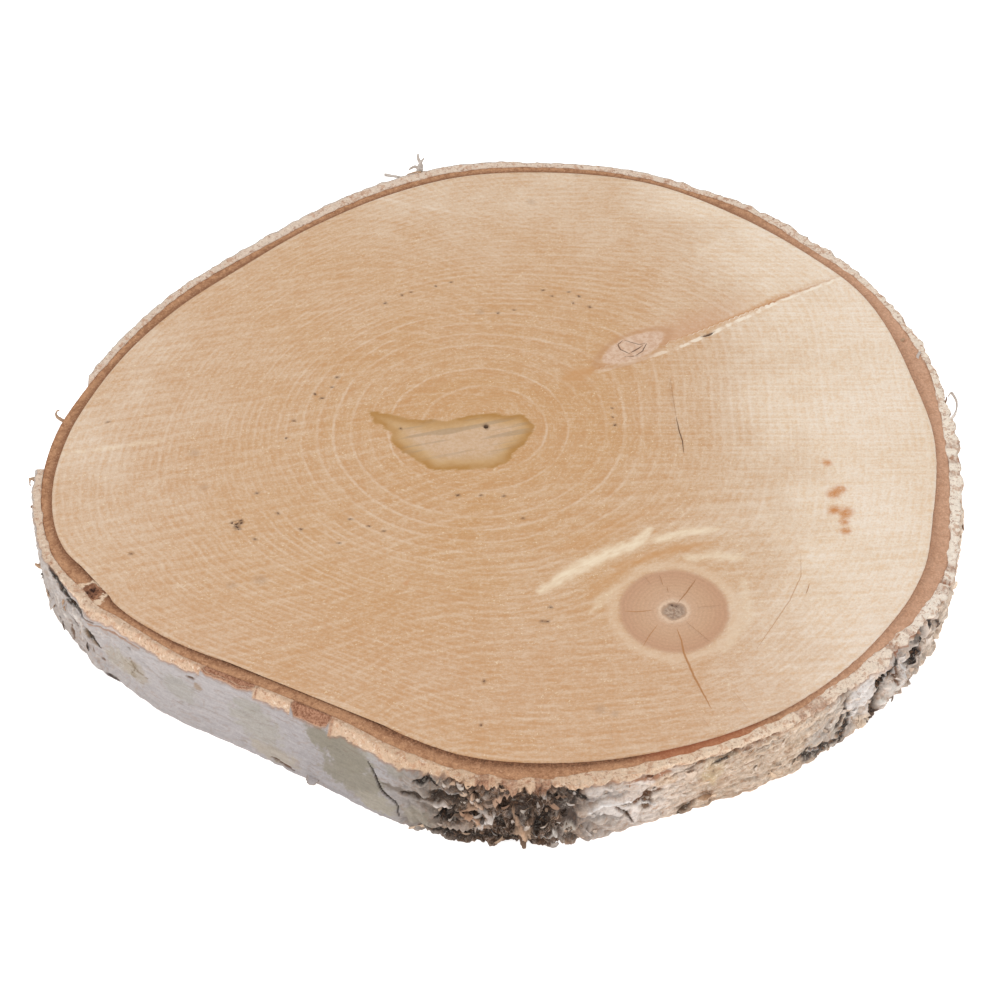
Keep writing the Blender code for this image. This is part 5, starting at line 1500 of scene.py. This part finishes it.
class FlakeMesh:
    """Collects thin curled sheets of bark into one mesh."""

    def __init__(self):
        self.vertices = []
        self.faces = []
        self.tint = []

    def add_sheet(self, centres, side, widths, outside, inside, curl, seed):
        """A sheet swept along centres; side points across it, and curl bends its long edges."""
        across_count = SHEET_ROWS
        last = len(centres) - 1
        layers = ([], [])
        for i, centre in enumerate(centres):
            tangent = (centres[min(i + 1, last)] - centres[max(i - 1, 0)]).normalized()
            across = (side - tangent * side.dot(tangent)).normalized()
            normal = across.cross(tangent).normalized()
            if normal.dot(Vector((centre.x, centre.y, 0.0))) < 0.0:
                normal = -normal
            for k in range(across_count):
                u = 2.0 * k / (across_count - 1) - 1.0
                frayed = 1.0 + 0.28 * noise.noise(Vector((i * 0.9, k * 3.0, seed)))
                creased = 0.12 * noise.noise(Vector((i * 0.7, k * 0.8, seed + 5.0)))
                place = centre + across * (u * widths[i] / 2.0 * frayed)
                place += normal * (curl * widths[i] * u * u + creased)
                half = FLAKE_THICKNESS / 2.0 * (1.0 - 0.55 * abs(u)) * (1.0 - 0.45 * i / last)
                layers[0].append(place + normal * half)
                layers[1].append(place - normal * half)
        start = len(self.vertices)
        size = len(layers[0])
        self.vertices += layers[0] + layers[1]
        edge_tint = tint_of(outside * 0.7 + inside * 0.85 * 0.3)
        for i in range(size):
            row, k = divmod(i, across_count)
            at_edge = k in (0, across_count - 1) or row == last
            self.tint.append(edge_tint if at_edge else tint_of(outside))
        self.tint += [tint_of(inside)] * size
        for i in range(last):
            for k in range(across_count - 1):
                a = start + i * across_count + k
                b = a + across_count
                self.faces.append((a, a + 1, b + 1, b))
                self.faces.append((a + size, b + size, b + 1 + size, a + 1 + size))
        rim = [start + k for k in range(across_count)]
        rim += [start + i * across_count + across_count - 1 for i in range(1, last + 1)]
        rim += [start + last * across_count + k for k in range(across_count - 2, -1, -1)]
        rim += [start + i * across_count for i in range(last - 1, 0, -1)]
        for a, b in zip(rim, rim[1:] + rim[:1]):
            self.faces.append((a, a + size, b + size, b))

    def add_flake(
            self, angle, height, reach, rise, drift, width, bend, outside, inside, curl, seed, steps=8):
        """A flake rooted in the wall that reaches outward and rises and drifts along it."""
        outward, sideways, up = directions(angle)
        height = min(height, THICKNESS - 1.0)
        relief = bark_point(angle, height)[0]
        root = outward * (wall_radius(angle, height, relief) - FLAKE_ROOT) + up * height
        centres = []
        widths = []
        for i in range(steps + 1):
            t = i / steps
            out = FLAKE_ROOT * min(1.0, 2.0 * t) + reach * (t - bend * t * t)
            centres.append(root + outward * out + up * rise * t * (1.0 + bend * t) + sideways * drift * t)
            widths.append(width * (1.0 - 0.6 * t * t))
        lean = sideways if abs(rise) >= abs(drift) else up
        self.add_sheet(centres, lean, widths, outside, inside, curl, seed)


def directions(angle):
    """Outward, sideways (anticlockwise) and up at an angle round the slice."""
    turn = math.radians(angle)
    outward = Vector((math.cos(turn), math.sin(turn), 0.0))
    sideways = Vector((-math.sin(turn), math.cos(turn), 0.0))
    return outward, sideways, Vector((0.0, 0.0, 1.0))


def curved_strip(points):
    """A smooth run of places through points given as angle, radius and height."""
    places = []
    for angle, radius, height in points:
        places.append(directions(angle)[0] * radius + Vector((0.0, 0.0, height)))
    run = []
    last = len(places) - 1
    for i in range(last):
        before, here, there, after = (places[max(0, min(last, i + k))] for k in (-1, 0, 1, 2))
        for step in range(4):
            t = step / 4
            slope_in = (there - before) * 0.5
            slope_out = (after - here) * 0.5
            run.append(
                here * ((1.0 + 2.0 * t) * (1.0 - t) ** 2) + slope_in * (t * (1.0 - t) ** 2)
                + there * (t * t * (3.0 - 2.0 * t)) + slope_out * (t * t * (t - 1.0))
            )
    run.append(places[-1])
    return run


SCAR_SHREDS = [
    (46, 36, 30), (52, 42, 36), (96, 74, 58), (150, 118, 96), (212, 178, 150), (210, 200, 192),
    (236, 224, 212),
]
PALE_SHREDS = [(236, 226, 218), (222, 194, 168), (176, 144, 118), (206, 198, 192)]


def make_flakes():
    """The curls and shreds that stand off the bark, as one piece."""
    flakes = FlakeMesh()
    tan_inside = np.array((202.0, 170.0, 142.0))
    for i, values in enumerate(KNOWN_FLAKES):
        color = np.array(blended(BARK_TONES, values[0])[:3]) * curve_at(SHINE, values[0])
        flakes.add_flake(*values, color * 1.02, tan_inside, 0.14, float(i))
    for i, (points, width, flat, color) in enumerate(LOOSE_STRIPS):
        centres = curved_strip(points)
        _, sideways, up = directions(points[0][0])
        widths = [width * (1.0 - 0.65 * (k / (len(centres) - 1)) ** 2) for k in range(len(centres))]
        outside = np.array(color, dtype=float)
        # The strip's underside is its own colour darkened: painted shade.
        flakes.add_sheet(centres, up if flat else sideways, widths, outside, outside * 0.9, 0.16, 50.0 + i)
    draw = random.Random(SHRED_SEED)
    made = 0
    for first, last, count, stand in SHRED_STRETCHES:
        for i in range(count):
            made += 1
            angle = first + (last - first) * (i + draw.random()) / count
            height = draw.uniform(1.6, 27.5)
            reach = stand * (0.15 + 1.1 * draw.random() ** 2)
            drift = draw.choice((-1.0, 1.0)) * draw.uniform(1.0, 3.6)
            rise = draw.uniform(-1.8, 1.8)
            if not 0.8 <= height + rise <= 29.0:
                rise = 0.0
            width = draw.uniform(0.8, 2.0 + stand)
            bend = draw.uniform(0.2, 0.9)
            in_scar = DARK_SHREDS[0] < angle < DARK_SHREDS[1]
            shade = draw.choice(SCAR_SHREDS if in_scar else PALE_SHREDS)
            outside = blend(bark_point(angle, height)[1], shade, 0.75 if in_scar else 0.4)
            # Where not tan, a shred's underside is its outside colour darkened: painted shade.
            inside = tan_inside if draw.random() < 0.5 else outside * 0.7
            curl = draw.uniform(-0.1, 0.35)
            flakes.add_flake(
                angle, height, reach, rise, drift, width, bend, outside, inside, curl, made * 1.7, steps=5,
            )
    values = {"tint": np.array(flakes.tint)} | {key: np.zeros(len(flakes.vertices)) for key in SKIN_VALUES}
    places = [tuple(v) for v in flakes.vertices]
    return mesh_object("bark_flakes", places, flakes.faces, make_outer_bark_material("bark_flakes"), values)


def make_inner_bark_material():
    s = Shader("inner_bark")
    across = s.number("across")
    light = s.number("light")
    grain = s.noise(0.75, 4.0, 0.75)
    lumps = s.noise(2.2, 4.0, 0.7)
    base = s.mix(light, (196, 146, 108), (214, 168, 138))
    deep = s.mix(light, (150, 101, 69), (196, 148, 117))
    color = s.over(base, deep, s.step(lumps, 0.44, 0.62), 0.7)
    inward = s.times(s.fall(across, 0.15, 0.75), s.step(light, 0.1, 0.7, 0.75, 0.3))
    color = s.mix(inward, color, s.mix(light, (142, 98, 70), (186, 138, 108)))
    color = s.over(color, (228, 190, 158), s.step(grain, 0.56, 0.68), 0.45)
    color = s.lighten(color, s.step(grain, 0.35, 0.65, 0.87, 1.09))
    edge = s.plus(across, s.sway(0.3, 3.0, 3.0))
    cambium = s.times(s.fall(edge, 0.10, 0.42), s.number("rim_dark"))
    dark_brown = s.mix(s.step(grain, 0.4, 0.6), (92, 60, 42), (146, 102, 74))
    color = s.over(color, dark_brown, cambium, 0.9)
    thin = s.times(s.fall(across, 0.02, 0.12), s.step(light, 0.2, 0.8, 0.6, 0.15))
    color = s.mix(thin, color, (126, 80, 54))
    outer = s.step(across, 0.84, 1.0)
    color = s.over(color, (156, 104, 74), outer, 0.3)
    color = s.over(color, (178, 100, 66), s.number("red"), 0.5)
    stub = s.plus(s.number("stub"), s.sway(6.5, 2.6, 3.0, 0.65))
    color = s.mix(s.fall(stub, 5.6, 6.3), color, (232, 204, 176))
    inner = s.mix(s.step(s.noise(1.6, 3.0, 0.7), 0.42, 0.6), (176, 128, 98), (132, 88, 64))
    color = s.mix(s.fall(stub, 4.3, 4.9), color, inner)
    core = s.mix(s.step(s.noise(1.0, 3.0, 0.7), 0.42, 0.56), (58, 34, 26), (140, 96, 72))
    color = s.mix(s.fall(stub, 2.4, 3.2), color, core)
    return s.finish(color, 0.85, s.plus(grain, lumps), 0.4, 0.2)


# The branch stub that shows in the cut, in millimetres from the trunk's middle.
STUB_PLACE = (-141.0, -81.0)
STUB_SPREAD = 5.0
# How far the ring's side stands back, and how far the ring reaches in under the wood's rounded edge.
INNER_BARK_INSET = 0.1
WOOD_OVERLAP = 0.25
INNER_BARK_COLUMNS = 1080
INNER_BARK_ROWS = 9
INNER_BARK_HEIGHTS = (0.3, 5.0, 10.0, 15.0, 20.0, 24.0, 27.0, 28.8)


def make_inner_bark():
    """The brown ring, crumbly on top, with a rough side where the outer bark is torn away."""
    vertices = []
    skin = []
    for i in range(INNER_BARK_COLUMNS):
        angle = 360.0 * i / INNER_BARK_COLUMNS
        cos, sin = math.cos(math.radians(angle)), math.sin(math.radians(angle))
        is_torn = torn_down_to(angle) is not None
        column = []
        for height in INNER_BARK_HEIGHTS:
            push = 0.35 * round_noise(angle, BARK_RADIUS, height, 3.0) if is_torn else 0.0
            radius = float(inner_bark_radius(angle, height)) - INNER_BARK_INSET + push
            column.append((radius, height, 1.0))
        inner = float(wood_radius(angle, THICKNESS)) - WOOD_OVERLAP
        outer = float(inner_bark_radius(angle, THICKNESS)) + RING_OVERLAP
        pale = 0.1 + 0.9 * max(eased(296.0, 326.0, angle), 1.0 - eased(20.0, 70.0, angle))
        sunk = 0.42 - 0.27 * pale
        for k in range(INNER_BARK_ROWS + 1):
            share = 1.0 - k / INNER_BARK_ROWS
            radius = inner + (outer - inner) * share
            lump = round_noise(angle, radius, 4.0, 1.6)
            height = THICKNESS - sunk + 0.14 * lump - 0.10 * math.sin(math.pi * share)
            off_stub = math.hypot(cos * radius - STUB_PLACE[0], sin * radius - STUB_PLACE[1])
            height += 0.5 * round_noise(angle, radius, 9.0) * math.exp(-((off_stub / STUB_SPREAD) ** 2))
            column.append((radius, height, share))
        column.append((float(wood_radius(angle, 0.0)) - WOOD_OVERLAP, INNER_BARK_HEIGHTS[0], 0.0))
        dark = 0.25 + 0.75 * eased(190.0, 215.0, angle) * (1.0 - eased(285.0, 312.0, angle))
        red = eased(284.0, 290.0, angle) * (1.0 - eased(297.0, 304.0, angle))
        for radius, height, share in column:
            x, y = radius * cos, radius * sin
            vertices.append((x, y, height))
            off_stub = math.hypot(x - STUB_PLACE[0], y - STUB_PLACE[1])
            skin.append((share, pale, dark, red, off_stub if height > 25.0 else 20.0))
    values = dict(zip(("across", "light", "rim_dark", "red", "stub"), np.array(skin).T))
    faces = ring_faces(INNER_BARK_COLUMNS, len(vertices) // INNER_BARK_COLUMNS)
    return mesh_object("inner_bark_ring", vertices, faces, make_inner_bark_material(), values)


# Camera, at the photograph's angle.
CAMERA_ELEVATION = 44.0
CAMERA_DISTANCE = 1051.0
CAMERA_ANGLE = 20.0
CAMERA_AIM = Vector((0.0, -4.0, 0.0))


def make_camera():
    data = bpy.data.cameras.new("view")
    data.sensor_width = 36.0
    data.angle = math.radians(CAMERA_ANGLE)
    camera = bpy.data.objects.new("view", data)
    lean = math.radians(CAMERA_ELEVATION)
    back = Vector((0.0, -math.cos(lean), math.sin(lean)))
    camera.location = CAMERA_AIM * MM + SHIFT + back * CAMERA_DISTANCE * MM
    camera.rotation_euler = (math.radians(90.0) - lean, 0.0, 0.0)
    data.clip_start = 0.05
    data.clip_end = 20.0
    bpy.context.scene.collection.objects.link(camera)
    bpy.context.scene.camera = camera


# The room's light, and the lamp and the floor in metres.
ROOM_LIGHT = 0.82
SOFT_LIGHT_SIZE = 1.6
SOFT_LIGHT_WATTS = 9.0
SOFT_LIGHT_PLACE = (-0.7, -0.9, 1.7)
FLOOR_HALF = 6.0
FLOOR_GLOW = 0.75


def make_studio():
    """A bright even room, one broad soft light, and a pale glowing floor."""
    world = bpy.data.worlds.new("studio")
    world.use_nodes = True
    back = world.node_tree.nodes["Background"]
    back.inputs["Color"].default_value = (1.0, 1.0, 1.0, 1.0)
    back.inputs["Strength"].default_value = ROOM_LIGHT
    bpy.context.scene.world = world
    data = bpy.data.lights.new("soft_light", "AREA")
    data.shape = "DISK"
    data.size = SOFT_LIGHT_SIZE
    data.energy = SOFT_LIGHT_WATTS
    light = bpy.data.objects.new("soft_light", data)
    light.location = SOFT_LIGHT_PLACE
    light.rotation_euler = (-light.location).to_track_quat("-Z", "Y").to_euler()
    bpy.context.scene.collection.objects.link(light)
    mesh = bpy.data.meshes.new("floor")
    corners = [(x * FLOOR_HALF, y * FLOOR_HALF, 0.0) for x, y in ((-1, -1), (1, -1), (1, 1), (-1, 1))]
    mesh.from_pydata(corners, [], [(0, 1, 2, 3)])
    floor = bpy.data.objects.new("floor", mesh)
    bpy.context.scene.collection.objects.link(floor)
    paper = Shader("pale_floor")
    paper.surface.inputs["Base Color"].default_value = (0.85, 0.85, 0.85, 1.0)
    paper.surface.inputs["Roughness"].default_value = 0.9
    paper.surface.inputs["Emission Color"].default_value = (1.0, 1.0, 1.0, 1.0)
    paper.surface.inputs["Emission Strength"].default_value = FLOOR_GLOW
    mesh.materials.append(paper.material)
    bpy.context.scene.view_settings.view_transform = "Standard"


make_camera()
make_studio()

wood = make_wood()
inner_bark = make_inner_bark()
outer_bark = make_outer_bark()
flakes = make_flakes()
for piece, node in ((wood, "wood"), (inner_bark, "inner_bark"), (outer_bark, "outer_bark")):
    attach(piece, "root")
    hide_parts(node)
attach(flakes, "root")
